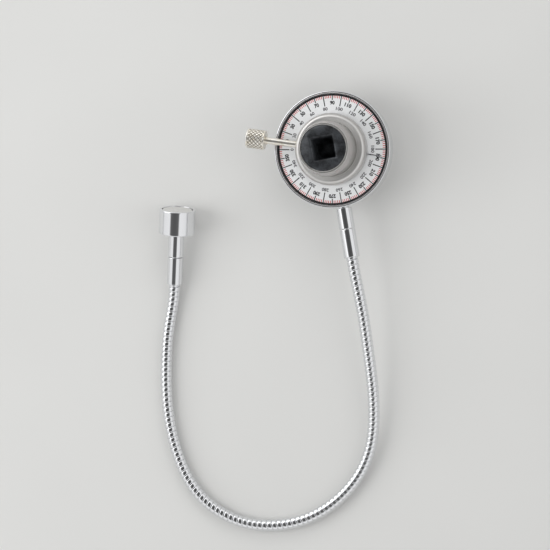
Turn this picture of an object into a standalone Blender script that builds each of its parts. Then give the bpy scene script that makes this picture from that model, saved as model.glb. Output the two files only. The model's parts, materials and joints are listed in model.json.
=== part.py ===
"""Half inch torque angle gauge: a graduated head on a square drive, with a flexible arm and a pot magnet.

The hub's axis is +Z and passes through the origin, which is the centre of the male square's end face. The
gauge stands on that face. The arm leaves the head towards -Y, comes down to the bench in a wide U and ends
in the magnet.
"""

import math

import bmesh
import bpy
import numpy as np
from mathutils import Matrix, Vector

MM = 0.001
TURN = 2.0 * math.pi

# Clearances
FIT = 0.3 * MM
SLEEVE_FIT = 0.35 * MM
COLLAR_LIFT = 0.5 * MM
BALL_MOUTH_FIT = 0.06 * MM
CUT_PAST = 1.0 * MM

# Square drive
SQUARE_TURN = math.radians(10.0)
MALE_SQUARE = 12.7 * MM
MALE_LENGTH = 15.2 * MM
MALE_EDGE = 0.9 * MM
FEMALE_SQUARE = 12.8 * MM
FEMALE_DEPTH = 15.5 * MM
FEMALE_EDGE = 0.4 * MM
FEMALE_MOUTH_CHAMFER = 1.05 * MM
FEMALE_RELIEF_DEPTH = 3.0 * MM
FEMALE_RELIEF_INSET = 0.25 * MM
FEMALE_RELIEF_POINT = 1.5 * MM
DRIVE_RADIUS = 12.6 * MM
DRIVE_NOSE_RADIUS = 9.4 * MM
DRIVE_NOSE_HEIGHT = 1.4 * MM
DRIVE_LIP_WIDTH = 0.85 * MM
DRIVE_LIP_HEIGHT = 1.6 * MM

# Detent in the male square
BALL_RADIUS = 2.45 * MM
BALL_PROUD = 0.65 * MM
BALL_FROM_END = 7.8 * MM
DETENT_MOUTH_LENGTH = 0.8 * MM
DETENT_BORE_PAST_AXIS = 3.0 * MM
SPRING_WIRE = 0.5 * MM
SPRING_TURNS = 5.0
SPRING_STEPS = 8
SPRING_SIDES = 5

# Rings that hold the head together, from the bottom up
RING_ABOVE_NOSE = 1.0 * MM
RING_GROOVE_DEPTH = 1.0 * MM
RING_THICKNESS = 1.0 * MM
RING_RADIAL = 3.4 * MM
RING_GAP = math.radians(48.0)
RING_LUG_RADIUS = 1.6 * MM
RING_LUG_HOLE = 0.7 * MM
RING_LUG_INSET = 0.55 * MM
WASHER_THICKNESS = 0.8 * MM
WASHER_LAP = 2.5 * MM
SNAP_GROOVE_DEPTH = 0.55 * MM
SNAP_THICKNESS = 0.8 * MM
SNAP_RADIAL = 2.6 * MM
SNAP_ROOM = 0.7 * MM
SNAP_GAP = math.radians(24.0)

# Sleeve round the drive
SLEEVE_WALL = 1.25 * MM
SLEEVE_TOP_WALL = 0.4 * MM
SLEEVE_EDGE = 0.25 * MM
HUB_ABOVE_DIAL = 30.1 * MM

# Bearing bush
BUSH_WALL = 1.75 * MM
BUSH_FLANGE_WIDTH = 1.6 * MM
BUSH_FLANGE_THICKNESS = 0.7 * MM

# Dial housing
HOUSING_RADIUS = 35.0 * MM
HOUSING_FLOOR_THICKNESS = 9.6 * MM
HOUSING_EDGE = 0.8 * MM
RIM_WALL = 1.5 * MM
RIM_ABOVE_DIAL = 1.3 * MM
RIM_CROWN = 0.8 * MM
RELIEF_INNER_WIDTH = 3.0 * MM
RELIEF_OUTER_WIDTH = 4.0 * MM
RELIEF_DEPTH = 1.5 * MM
DIAL_THICKNESS = 1.0 * MM

# Pointer collar, pointer and thumbscrew
COLLAR_WALL = 7.05 * MM
COLLAR_SHOULDER_WIDTH = 2.7 * MM
COLLAR_HEIGHT = 8.6 * MM
COLLAR_SHOULDER_HEIGHT = 4.0 * MM
COLLAR_BORE_EDGE = 0.35 * MM
BOSS_WALL = 1.75 * MM
BOSS_CONE_HEIGHT = 6.9 * MM
BOSS_BELOW_TOP = 0.3 * MM
POINTER_AZIMUTH = math.radians(-7.9)
POINTER_FROM_RIM = 3.3 * MM
POINTER_SEAT = 2.2 * MM
POINTER_SHANK = 0.5 * MM
POINTER_ROOT_WIDTH = 0.8 * MM
POINTER_TIP_WIDTH = 0.3 * MM
POINTER_THICKNESS = 0.55 * MM
POINTER_EDGE = 0.33 * MM
POINTER_LIFT = 0.15 * MM
SCREW_ABOVE_DIAL = 5.5 * MM
ROD_RADIUS = 2.0 * MM
ROD_POINT = 0.5 * MM
ROD_SHOWN = 18.4 * MM
ROD_IN_KNOB = 3.0 * MM
KNOB_RADIUS = 5.75 * MM
KNOB_LENGTH = 11.1 * MM
KNOB_EDGE = 0.7 * MM
KNURL_DEPTH = 0.35 * MM
KNURL_AROUND = 26
KNURL_ALONG = 6

# Flexible arm
ARM_AZIMUTH = math.radians(-80.4)
ARM_BELOW_DIAL = 5.7 * MM
STUD_RADIUS = 4.75 * MM
STUD_EDGE = 0.35 * MM
HEAD_STUD_LENGTH = 12.7 * MM
MAGNET_STUD_LENGTH = 14.1 * MM
HEAD_SPIGOT_RADIUS = 3.0 * MM
HEAD_SPIGOT_LENGTH = 8.0 * MM
CUP_SPIGOT_LENGTH = 3.5 * MM
FERRULE_SPIGOT_RADIUS = 2.6 * MM
FERRULE_SPIGOT_LENGTH = 4.6 * MM
FERRULE_LENGTH = 17.0 * MM
FERRULE_SOCKET_DEPTH = 8.0 * MM
NECK_RADIUS = 3.6 * MM
NECK_VALLEY_RADIUS = 3.05 * MM
NECK_PITCH = 3.1 * MM
NECK_BAND = 0.56
NECK_SIDES = 8
NECK_SAMPLES = 4000
NECK_LENGTHS = 9
NECK_JOINT_RANGE = math.radians(20.0)
NECK_JOINT_GAP = 0.3 * MM
NECK_JOINT_TIP = 0.3 * MM
NECK_BAND_ROOM = 0.1 * MM
NECK_STRAIGHT = 5.0 * MM
NECK_ROUTE = [
    Vector(point) * MM
    for point in (
        (16.9, -98.0, 22.2),
        (19.3, -119.0, 18.2),
        (21.2, -140.0, 13.8),
        (21.5, -161.0, 9.8),
        (19.0, -178.5, 6.8),
        (12.3, -194.5, 4.8),
        (2.6, -207.0, 3.9),
        (-11.0, -218.0, 3.7),
        (-27.0, -225.0, 3.7),
        (-43.0, -227.4, 3.7),
        (-59.0, -226.0, 3.7),
        (-74.0, -220.0, 3.7),
        (-86.0, -211.0, 3.7),
        (-94.7, -199.4, 3.7),
        (-100.5, -186.5, 3.7),
        (-104.5, -173.0, 3.7),
        (-107.7, -152.0, 3.7),
        (-108.2, -131.0, 3.7),
        (-106.8, -110.0, 3.9),
    )
]

# Pot magnet at the arm's end
MAGNET_ACROSS = -102.5 * MM
MAGNET_ALONG = -80.8 * MM
MAGNET_HEIGHT = 6.1 * MM
MAGNET_MOUTH = Vector((MAGNET_ACROSS, MAGNET_ALONG, MAGNET_HEIGHT))
MAGNET_AZIMUTH = math.radians(84.9)
MAGNET_RISE = math.radians(11.5)
MAGNET_RADIUS = 11.0 * MM
MAGNET_LENGTH = 15.0 * MM
MAGNET_EDGE = 0.6 * MM
MAGNET_WALL = 1.6 * MM
MAGNET_BACK = 4.0 * MM
MAGNET_RECESS = 0.3 * MM

# Facets round each turned piece, the angle from which an edge is sharp, and the size of an axis as drawn
SHARP_ANGLE = math.radians(32.0)
AXIS_SHOWN = 10.0 * MM
MERGE = 0.001 * MM
FINE_SIDES = 48
HUB_SIDES = 36
STUD_SIDES = 16
SMALL_SIDES = 12
HOLE_SIDES = 8
RING_STEPS = 24

# Heights up the hub, and the radii that follow from the sizes
RING_FLOOR = MALE_LENGTH + DRIVE_NOSE_HEIGHT + RING_ABOVE_NOSE
WASHER_BOTTOM = RING_FLOOR + RING_THICKNESS + FIT
SLEEVE_BOTTOM = WASHER_BOTTOM + WASHER_THICKNESS + FIT
HOUSING_BOTTOM = SLEEVE_BOTTOM
HOUSING_FLOOR = HOUSING_BOTTOM + HOUSING_FLOOR_THICKNESS
DIAL_BOTTOM = HOUSING_FLOOR + FIT
DIAL_TOP = DIAL_BOTTOM + DIAL_THICKNESS
RIM_TOP = DIAL_TOP + RIM_ABOVE_DIAL
BUSH_TOP = HOUSING_FLOOR + FIT + BUSH_FLANGE_THICKNESS
SNAP_BOTTOM = BUSH_TOP + FIT
COLLAR_BOTTOM = DIAL_TOP + COLLAR_LIFT
COLLAR_TOP = COLLAR_BOTTOM + COLLAR_HEIGHT
HUB_TOP = DIAL_TOP + HUB_ABOVE_DIAL
BOSS_TOP = HUB_TOP - BOSS_BELOW_TOP
SCREW_HEIGHT = DIAL_TOP + SCREW_ABOVE_DIAL
ARM_HEIGHT = DIAL_TOP - ARM_BELOW_DIAL
SLEEVE_BORE = DRIVE_RADIUS + FIT
SLEEVE_RADIUS = SLEEVE_BORE + SLEEVE_WALL
BUSH_BORE = SLEEVE_RADIUS + FIT
BUSH_RADIUS = BUSH_BORE + BUSH_WALL
BUSH_FLANGE_RADIUS = BUSH_RADIUS + BUSH_FLANGE_WIDTH
HOUSING_BORE = BUSH_RADIUS + FIT
DIAL_BORE = BUSH_FLANGE_RADIUS + FIT
RIM_BORE = HOUSING_RADIUS - RIM_WALL
DIAL_RADIUS = RIM_BORE - FIT
COLLAR_BORE = SLEEVE_RADIUS + FIT
COLLAR_RADIUS = COLLAR_BORE + COLLAR_WALL
SNAP_INNER = SLEEVE_RADIUS - SNAP_GROOVE_DEPTH + FIT
SNAP_OUTER = SNAP_INNER + SNAP_RADIAL
WASHER_RADIUS = HOUSING_BORE + WASHER_LAP
MAGNET_BORE = MAGNET_RADIUS - MAGNET_WALL


def clear_scene():
    """Removes what Blender's own start file holds."""
    for found in list(bpy.data.objects):
        bpy.data.objects.remove(found, do_unlink=True)


def finish(name, colour, metallic, roughness):
    """A plain Principled material from an sRGB colour written as hex."""
    material = bpy.data.materials.new(name)
    material.use_nodes = True
    shader = material.node_tree.nodes["Principled BSDF"]
    channels = [int(colour[i : i + 2], 16) / 255.0 for i in (0, 2, 4)]
    linear = [c / 12.92 if c <= 0.04045 else ((c + 0.055) / 1.055) ** 2.4 for c in channels]
    shader.inputs["Base Color"].default_value = (*linear, 1.0)
    shader.inputs["Metallic"].default_value = metallic
    shader.inputs["Roughness"].default_value = roughness
    return material


def add_mesh(name, bm, material, parent=None, location=(0.0, 0.0, 0.0)):
    """Makes an object of a bmesh, with round faces smooth and real edges sharp."""
    bmesh.ops.recalc_face_normals(bm, faces=bm.faces)
    mesh = bpy.data.meshes.new(name)
    bm.to_mesh(mesh)
    bm.free()
    mesh.shade_smooth()
    mesh.set_sharp_from_angle(angle=SHARP_ANGLE)
    piece = bpy.data.objects.new(name, mesh)
    piece.data.materials.append(material)
    piece.location = location
    piece.parent = parent
    bpy.context.collection.objects.link(piece)
    return piece


def add_axis(name, location, rotation, parent=None):
    """An empty on an axis, which carries the pieces that turn or lie along it."""
    axis = bpy.data.objects.new(name, None)
    axis.empty_display_size = AXIS_SHOWN
    axis.location = location
    axis.rotation_euler = rotation
    axis.parent = parent
    bpy.context.collection.objects.link(axis)
    return axis


def turned(profile, sides, along_x=False):
    """A profile of (radius, height) points spun about Z, then laid along X for the arm's and screw's pieces.

    A profile that starts and ends on the axis makes a solid. Any other is closed on itself and makes a ring.
    """
    bm = bmesh.new()
    points = [bm.verts.new((radius, 0.0, height)) for radius, height in profile]
    edges = [bm.edges.new(pair) for pair in zip(points, points[1:])]
    if profile[0][0] > 0.0:
        edges.append(bm.edges.new((points[-1], points[0])))
    bmesh.ops.spin(
        bm,
        geom=points + edges,
        cent=(0, 0, 0),
        axis=(0, 0, 1),
        dvec=(0, 0, 0),
        angle=TURN,
        steps=sides,
        use_merge=True,
    )
    bmesh.ops.remove_doubles(bm, verts=bm.verts, dist=MERGE)
    if along_x:
        bmesh.ops.rotate(bm, verts=bm.verts, cent=(0, 0, 0), matrix=Matrix.Rotation(TURN / 4.0, 3, "Y"))
    return bm


def skinned(sections, closed=False):
    """Joins equal rings of points with faces, and caps the first and the last unless the skin is closed."""
    bm = bmesh.new()
    rings = [[bm.verts.new(point) for point in section] for section in sections]
    pairs = list(zip(rings, rings[1:])) + ([(rings[-1], rings[0])] if closed else [])
    for first, second in pairs:
        for i in range(len(first)):
            j = (i + 1) % len(first)
            bm.faces.new((first[i], first[j], second[j], second[i]))
    if not closed:
        bm.faces.new(rings[0][::-1])
        bm.faces.new(rings[-1])
    return bm


def box(low, high, edge=0.0, edges_along=None):
    """A block between two corners, with its edges bevelled, or only those along one axis."""
    bm = bmesh.new()
    bmesh.ops.create_cube(bm, size=1.0)
    low, high = Vector(low), Vector(high)
    for vert in bm.verts:
        vert.co = Vector(low[k] + (vert.co[k] + 0.5) * (high[k] - low[k]) for k in range(3))
    if edge > 0.0:
        picked = []
        for line in bm.edges:
            span = line.verts[0].co - line.verts[1].co
            if edges_along is None or abs(span[edges_along]) > MERGE:
                picked.append(line)
        bmesh.ops.bevel(
            bm, geom=picked, offset=edge, offset_type="OFFSET", segments=2, profile=0.5, affect="EDGES"
        )
    return bm


def moved(bm, matrix):
    bmesh.ops.transform(bm, matrix=matrix, verts=bm.verts)
    return bm


def combine(piece, bm, operation, name):
    """Adds or cuts a shape, given in the piece's own frame, with a Boolean modifier."""
    tool = add_mesh(name, bm, piece.data.materials[0], parent=piece)
    tool.hide_render = True
    tool.display_type = "WIRE"
    modifier = piece.modifiers.new(name, "BOOLEAN")
    modifier.object = tool
    modifier.operation = operation
    modifier.solver = "EXACT"


def arc(centre, radii, start, end, steps):
    """Points on an ellipse's arc, for the round shoulders of turned profiles."""
    angles = [start + (end - start) * i / steps for i in range(steps + 1)]
    return [(centre[0] + radii[0] * math.cos(a), centre[1] + radii[1] * math.sin(a)) for a in angles]


def split_ring(inner, outer, bottom, thickness, gap, facing):
    """A flat snap ring whose gap faces one way. Also gives the places for lugs at its two ends."""
    sections = []
    for i in range(RING_STEPS + 1):
        angle = facing + gap / 2.0 + (TURN - gap) * i / RING_STEPS
        out = Vector((math.cos(angle), math.sin(angle), 0.0))
        corners = ((inner, 0.0), (outer, 0.0), (outer, thickness), (inner, thickness))
        sections.append([out * r + Vector((0.0, 0.0, bottom + h)) for r, h in corners])
    bm = skinned(sections)
    lugs = []
    for side in (-1.0, 1.0):
        angle = facing + side * gap / 2.0
        centre = Vector((math.cos(angle), math.sin(angle), 0.0)) * (outer - RING_LUG_INSET)
        lugs.append(centre + Vector((0.0, 0.0, bottom)))
    return bm, lugs


def make_drive(dark, axis):
    """The black drive: male square below, female square above, the retaining ring's groove between them."""
    neck = MALE_LENGTH + DRIVE_NOSE_HEIGHT
    groove = DRIVE_RADIUS - RING_GROOVE_DEPTH
    groove_low = RING_FLOOR - FIT / 2.0
    groove_high = RING_FLOOR + RING_THICKNESS + FIT / 2.0
    lip = DRIVE_RADIUS + DRIVE_LIP_WIDTH
    lip_bottom = HUB_TOP - DRIVE_LIP_HEIGHT
    profile = [
        (0.0, MALE_LENGTH),
        (DRIVE_NOSE_RADIUS, MALE_LENGTH),
        (DRIVE_RADIUS, neck),
        (DRIVE_RADIUS, groove_low),
        (groove, groove_low),
        (groove, groove_high),
        (DRIVE_RADIUS, groove_high),
        (DRIVE_RADIUS, lip_bottom),
        (lip, lip_bottom),
        (lip, HUB_TOP - SLEEVE_EDGE),
        (lip - SLEEVE_EDGE, HUB_TOP),
        (0.0, HUB_TOP),
    ]
    drive = add_mesh("drive_body", turned(profile, HUB_SIDES), dark, parent=axis)
    half = MALE_SQUARE / 2.0
    male = box((-half, -half, 0.0), (half, half, neck), MALE_EDGE)
    combine(drive, male, "UNION", "male_square")
    half = FEMALE_SQUARE / 2.0
    socket_floor = HUB_TOP - FEMALE_DEPTH
    above = HUB_TOP + CUT_PAST
    socket = box((-half, -half, socket_floor), (half, half, above), FEMALE_EDGE, 2)
    combine(drive, socket, "DIFFERENCE", "female_square")
    mouth = []
    for reach in (-FEMALE_MOUTH_CHAMFER, CUT_PAST):
        side = half + FEMALE_MOUTH_CHAMFER + reach
        corners = ((-side, -side), (side, -side), (side, side), (-side, side))
        mouth.append([Vector((x, y, HUB_TOP + reach)) for x, y in corners])
    combine(drive, skinned(mouth), "DIFFERENCE", "mouth_chamfer")
    relief_radius = half - FEMALE_RELIEF_INSET
    relief_floor = socket_floor - FEMALE_RELIEF_DEPTH
    relief = [
        (0.0, socket_floor + CUT_PAST),
        (relief_radius, socket_floor + CUT_PAST),
        (relief_radius, relief_floor),
        (0.0, relief_floor - FEMALE_RELIEF_POINT),
    ]
    combine(drive, turned(relief, STUD_SIDES), "DIFFERENCE", "socket_relief")
    bore = BALL_RADIUS + FIT
    half = MALE_SQUARE / 2.0
    mouth_start = half - DETENT_MOUTH_LENGTH
    ball_x = half + BALL_PROUD - BALL_RADIUS
    mouth_radius = math.sqrt((BALL_RADIUS + BALL_MOUTH_FIT) ** 2 - (mouth_start - ball_x) ** 2)
    detent = [
        (0.0, -DETENT_BORE_PAST_AXIS),
        (bore, -DETENT_BORE_PAST_AXIS),
        (bore, mouth_start),
        (mouth_radius, mouth_start),
        (mouth_radius, half + CUT_PAST),
        (0.0, half + CUT_PAST),
    ]
    cutter = moved(turned(detent, STUD_SIDES, along_x=True), Matrix.Translation((0.0, 0.0, BALL_FROM_END)))
    combine(drive, cutter, "DIFFERENCE", "detent_bore")


def make_detent(bright, spring_steel, axis):
    """The ball and its spring, which lie across the male square."""
    centre = MALE_SQUARE / 2.0 + BALL_PROUD - BALL_RADIUS
    bm = bmesh.new()
    bmesh.ops.create_icosphere(bm, subdivisions=2, radius=BALL_RADIUS)
    add_mesh("detent_ball", bm, bright, parent=axis, location=(centre, 0.0, BALL_FROM_END))
    coil = BALL_RADIUS + FIT - SPRING_WIRE
    seat = centre - math.sqrt(BALL_RADIUS**2 - coil**2)
    start = -DETENT_BORE_PAST_AXIS + SPRING_WIRE / 2.0 + FIT / 2.0
    end = seat - SPRING_WIRE / 2.0 - FIT
    steps = int(SPRING_TURNS * SPRING_STEPS)
    along = Vector((1.0, 0.0, 0.0))
    sections = []
    for i in range(steps + 1):
        angle = TURN * SPRING_TURNS * i / steps
        out = Vector((0.0, math.cos(angle), math.sin(angle)))
        middle = out * coil + Vector((start + (end - start) * i / steps, 0.0, BALL_FROM_END))
        section = []
        for k in range(SPRING_SIDES):
            turn = TURN * k / SPRING_SIDES
            section.append(middle + (out * math.cos(turn) + along * math.sin(turn)) * SPRING_WIRE / 2.0)
        sections.append(section)
    add_mesh("detent_spring", skinned(sections), spring_steel, parent=axis)


def make_rings(spring_steel, axis):
    """The rings and the washer that keep the housing, the bush and the sleeve on the drive."""
    inner = DRIVE_RADIUS - RING_GROOVE_DEPTH + FIT
    outer = inner + RING_RADIAL
    bm, lugs = split_ring(inner, outer, RING_FLOOR, RING_THICKNESS, RING_GAP, TURN / 4.0)
    ring = add_mesh("retaining_ring", bm, spring_steel, parent=axis)
    for number, centre in enumerate(lugs):
        lug = [(0.0, 0.0), (RING_LUG_RADIUS, 0.0), (RING_LUG_RADIUS, RING_THICKNESS), (0.0, RING_THICKNESS)]
        combine(ring, moved(turned(lug, SMALL_SIDES), Matrix.Translation(centre)), "UNION", f"lug_{number}")
        low, high = -CUT_PAST, RING_THICKNESS + CUT_PAST
        hole = [(0.0, low), (RING_LUG_HOLE, low), (RING_LUG_HOLE, high), (0.0, high)]
        place = Matrix.Translation(centre)
        combine(ring, moved(turned(hole, HOLE_SIDES), place), "DIFFERENCE", f"lug_hole_{number}")
    low, high = WASHER_BOTTOM, WASHER_BOTTOM + WASHER_THICKNESS
    bore = DRIVE_RADIUS + SLEEVE_FIT
    washer = [(bore, low), (WASHER_RADIUS, low), (WASHER_RADIUS, high), (bore, high)]
    add_mesh("thrust_washer", turned(washer, HUB_SIDES), spring_steel, parent=axis)
    bm, _ = split_ring(SNAP_INNER, SNAP_OUTER, SNAP_BOTTOM, SNAP_THICKNESS, SNAP_GAP, -TURN / 4.0)
    add_mesh("sleeve_snap_ring", bm, spring_steel, parent=axis)


def make_sleeve(steel, axis):
    """The satin sleeve, with a thin lip round the top of the drive and a groove for its snap ring."""
    groove = SLEEVE_RADIUS - SNAP_GROOVE_DEPTH
    groove_low = SNAP_BOTTOM - FIT / 2.0
    groove_high = SNAP_BOTTOM + SNAP_THICKNESS + FIT / 2.0
    counterbore = SLEEVE_RADIUS - SLEEVE_TOP_WALL
    step = HUB_TOP - DRIVE_LIP_HEIGHT - FIT
    profile = [
        (SLEEVE_BORE, SLEEVE_BOTTOM),
        (SLEEVE_RADIUS - SLEEVE_EDGE, SLEEVE_BOTTOM),
        (SLEEVE_RADIUS, SLEEVE_BOTTOM + SLEEVE_EDGE),
        (SLEEVE_RADIUS, groove_low),
        (groove, groove_low),
        (groove, groove_high),
        (SLEEVE_RADIUS, groove_high),
        (SLEEVE_RADIUS, HUB_TOP - SLEEVE_EDGE),
        (SLEEVE_RADIUS - SLEEVE_EDGE, HUB_TOP),
        (counterbore, HUB_TOP),
        (counterbore, step),
        (SLEEVE_BORE, step),
    ]
    add_mesh("hub_sleeve", turned(profile, HUB_SIDES), steel, parent=axis)


def make_housing(chrome):
    """The chromed cup: crowned rim, flat floor for the dial, bore for the bush and a relief below."""
    relief_inner = HOUSING_BORE + RELIEF_INNER_WIDTH
    relief_outer = HOUSING_RADIUS - RELIEF_OUTER_WIDTH
    relief_top = HOUSING_BOTTOM + RELIEF_DEPTH
    crown = RIM_WALL / 2.0
    rim = arc((HOUSING_RADIUS - crown, RIM_TOP - RIM_CROWN), (crown, RIM_CROWN), 0.0, TURN / 2.0, 4)
    profile = [
        (HOUSING_BORE, HOUSING_BOTTOM),
        (relief_inner, HOUSING_BOTTOM),
        (relief_inner, relief_top),
        (relief_outer, relief_top),
        (relief_outer, HOUSING_BOTTOM),
        (HOUSING_RADIUS - HOUSING_EDGE, HOUSING_BOTTOM),
        (HOUSING_RADIUS, HOUSING_BOTTOM + HOUSING_EDGE),
        *rim,
        (RIM_BORE, HOUSING_FLOOR),
        (HOUSING_BORE, HOUSING_FLOOR),
    ]
    housing = add_mesh("dial_housing", turned(profile, FINE_SIDES), chrome)
    radius = HEAD_SPIGOT_RADIUS + FIT
    deep = HOUSING_RADIUS - HEAD_SPIGOT_LENGTH - FIT
    outside = HOUSING_RADIUS + CUT_PAST
    hole = [(0.0, deep), (radius, deep), (radius, outside), (0.0, outside)]
    place = Matrix.Translation((0.0, 0.0, ARM_HEIGHT)) @ Matrix.Rotation(ARM_AZIMUTH, 4, "Z")
    combine(housing, moved(turned(hole, SMALL_SIDES, along_x=True), place), "DIFFERENCE", "stud_hole")


def make_dial_and_bush(silver, bronze):
    """The printed disc and the flanged bush, which both stay with the housing."""
    low, high = DIAL_BOTTOM, DIAL_TOP
    disc = [(DIAL_BORE, low), (DIAL_RADIUS, low), (DIAL_RADIUS, high), (DIAL_BORE, high)]
    add_mesh("dial_plate", turned(disc, FINE_SIDES), silver)
    flange = HOUSING_FLOOR + FIT
    profile = [
        (BUSH_BORE, HOUSING_BOTTOM),
        (BUSH_RADIUS, HOUSING_BOTTOM),
        (BUSH_RADIUS, flange),
        (BUSH_FLANGE_RADIUS, flange),
        (BUSH_FLANGE_RADIUS, BUSH_TOP),
        (BUSH_BORE, BUSH_TOP),
    ]
    add_mesh("housing_bush", turned(profile, HUB_SIDES), bronze)


def make_collar(steel, axis):
    """The collar that turns on the sleeve: a flange with a round shoulder, and a boss that ends in a cone.

    The flange has room for the snap ring below, and a hole for the screw.
    """
    room = SNAP_OUTER + SNAP_ROOM
    room_top = SNAP_BOTTOM + SNAP_THICKNESS + 2.0 * FIT
    boss = COLLAR_BORE + BOSS_WALL
    centre = (COLLAR_RADIUS - COLLAR_SHOULDER_WIDTH, COLLAR_TOP - COLLAR_SHOULDER_HEIGHT)
    round_shoulder = arc(centre, (COLLAR_SHOULDER_WIDTH, COLLAR_SHOULDER_HEIGHT), 0.0, TURN / 4.0, 4)
    profile = [
        (COLLAR_BORE, room_top),
        (room, room_top),
        (room, COLLAR_BOTTOM),
        (COLLAR_RADIUS, COLLAR_BOTTOM),
        *round_shoulder,
        (boss, COLLAR_TOP),
        (boss, BOSS_TOP - BOSS_CONE_HEIGHT),
        (COLLAR_BORE + COLLAR_BORE_EDGE, BOSS_TOP),
        (COLLAR_BORE, BOSS_TOP - COLLAR_BORE_EDGE),
    ]
    collar = add_mesh("pointer_collar", turned(profile, FINE_SIDES), steel, parent=axis)
    radius = ROD_RADIUS + FIT
    low, high = SLEEVE_BORE, COLLAR_RADIUS + CUT_PAST
    hole = [(0.0, low), (radius, low), (radius, high), (0.0, high)]
    turn = Matrix.Rotation(POINTER_AZIMUTH + TURN / 2.0, 4, "Z")
    place = Matrix.Translation((0.0, 0.0, SCREW_HEIGHT)) @ turn
    combine(collar, moved(turned(hole, SMALL_SIDES, along_x=True), place), "DIFFERENCE", "screw_hole")
    half = POINTER_ROOT_WIDTH / 2.0 + FIT
    start = COLLAR_RADIUS - POINTER_SEAT - FIT
    top = COLLAR_BOTTOM + POINTER_LIFT + POINTER_THICKNESS + FIT
    slot = box((start, -half, COLLAR_BOTTOM - CUT_PAST), (COLLAR_RADIUS + CUT_PAST, half, top))
    combine(collar, moved(slot, Matrix.Rotation(POINTER_AZIMUTH, 4, "Z")), "DIFFERENCE", "pointer_slot")


def make_pointer(bright, axis):
    """A flat tapered pointer with a ridge down its middle, seated in the collar's slot."""
    bottom = COLLAR_BOTTOM + POINTER_LIFT
    stations = (
        (COLLAR_RADIUS - POINTER_SEAT, POINTER_ROOT_WIDTH),
        (COLLAR_RADIUS + POINTER_SHANK, POINTER_ROOT_WIDTH),
        (RIM_BORE - POINTER_FROM_RIM, POINTER_TIP_WIDTH),
    )
    sections = []
    for reach, width in stations:
        outline = (
            (-width / 2.0, 0.0),
            (width / 2.0, 0.0),
            (width / 2.0, POINTER_EDGE),
            (0.0, POINTER_THICKNESS),
            (-width / 2.0, POINTER_EDGE),
        )
        sections.append([Vector((reach, y, bottom + z)) for y, z in outline])
    needle = moved(skinned(sections), Matrix.Rotation(POINTER_AZIMUTH, 4, "Z"))
    add_mesh("pointer_needle", needle, bright, parent=axis)


def make_thumbscrew(nickel, axis):
    """The rod that clamps the collar to the sleeve, and its diamond-knurled knob, both on one axis."""
    tip = SLEEVE_RADIUS + SLEEVE_FIT
    knob_start = COLLAR_RADIUS + ROD_SHOWN
    rod_end = knob_start + ROD_IN_KNOB
    rod = [
        (0.0, tip),
        (ROD_RADIUS - ROD_POINT, tip),
        (ROD_RADIUS, tip + ROD_POINT),
        (ROD_RADIUS, rod_end),
        (0.0, rod_end),
    ]
    add_mesh("thumbscrew_rod", turned(rod, SMALL_SIDES, along_x=True), nickel, parent=axis)
    knob_end = knob_start + KNOB_LENGTH
    hole = ROD_RADIUS + FIT
    low, high = knob_start + KNOB_EDGE, knob_end - KNOB_EDGE
    root = KNOB_RADIUS - KNURL_DEPTH
    stations = [low + (high - low) * i / KNURL_ALONG for i in range(KNURL_ALONG + 1)]
    outline = [(hole, rod_end + FIT), (hole, knob_start), (KNOB_RADIUS - KNOB_EDGE, knob_start)]
    bands = [[(r, x)] * KNURL_AROUND for r, x in outline]
    for row, x in enumerate(stations):
        bands.append([(KNOB_RADIUS if (row + i) % 2 else root, x) for i in range(KNURL_AROUND)])
    bands.append([(KNOB_RADIUS - KNOB_EDGE, knob_end)] * KNURL_AROUND)
    sections = []
    for band in bands:
        angles = [TURN * i / KNURL_AROUND for i in range(KNURL_AROUND)]
        sections.append([Vector((x, r * math.cos(a), r * math.sin(a))) for (r, x), a in zip(band, angles)])
    add_mesh("thumbscrew_knob", skinned(sections), nickel, parent=axis)


def make_stud(name, chrome, axis, start, length, inner_radius, inner_length):
    """A chromed stud between two flat faces, with a spigot into each neighbour."""
    end = start + length
    profile = [
        (0.0, start - inner_length),
        (inner_radius, start - inner_length),
        (inner_radius, start),
        (STUD_RADIUS - STUD_EDGE, start),
        (STUD_RADIUS, start + STUD_EDGE),
        (STUD_RADIUS, end - STUD_EDGE),
        (STUD_RADIUS - STUD_EDGE, end),
        (FERRULE_SPIGOT_RADIUS, end),
        (FERRULE_SPIGOT_RADIUS, end + FERRULE_SPIGOT_LENGTH),
        (0.0, end + FERRULE_SPIGOT_LENGTH),
    ]
    add_mesh(name, turned(profile, STUD_SIDES, along_x=True), chrome, parent=axis)


def make_ferrule(name, chrome, axis, start):
    """The ferrule: a bore for the stud's spigot at one end, a socket for the flexible arm at the other."""
    end = start + FERRULE_LENGTH
    bore = FERRULE_SPIGOT_RADIUS + FIT
    bore_end = start + FERRULE_SPIGOT_LENGTH
    socket = NECK_RADIUS + SLEEVE_FIT
    socket_floor = end - FERRULE_SOCKET_DEPTH
    profile = [
        (0.0, bore_end),
        (bore, bore_end),
        (bore, start),
        (STUD_RADIUS - STUD_EDGE, start),
        (STUD_RADIUS, start + STUD_EDGE),
        (STUD_RADIUS, end - STUD_EDGE),
        (STUD_RADIUS - STUD_EDGE, end),
        (socket, end),
        (socket, socket_floor),
        (0.0, socket_floor),
    ]
    add_mesh(name, turned(profile, STUD_SIDES, along_x=True), chrome, parent=axis)


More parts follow.
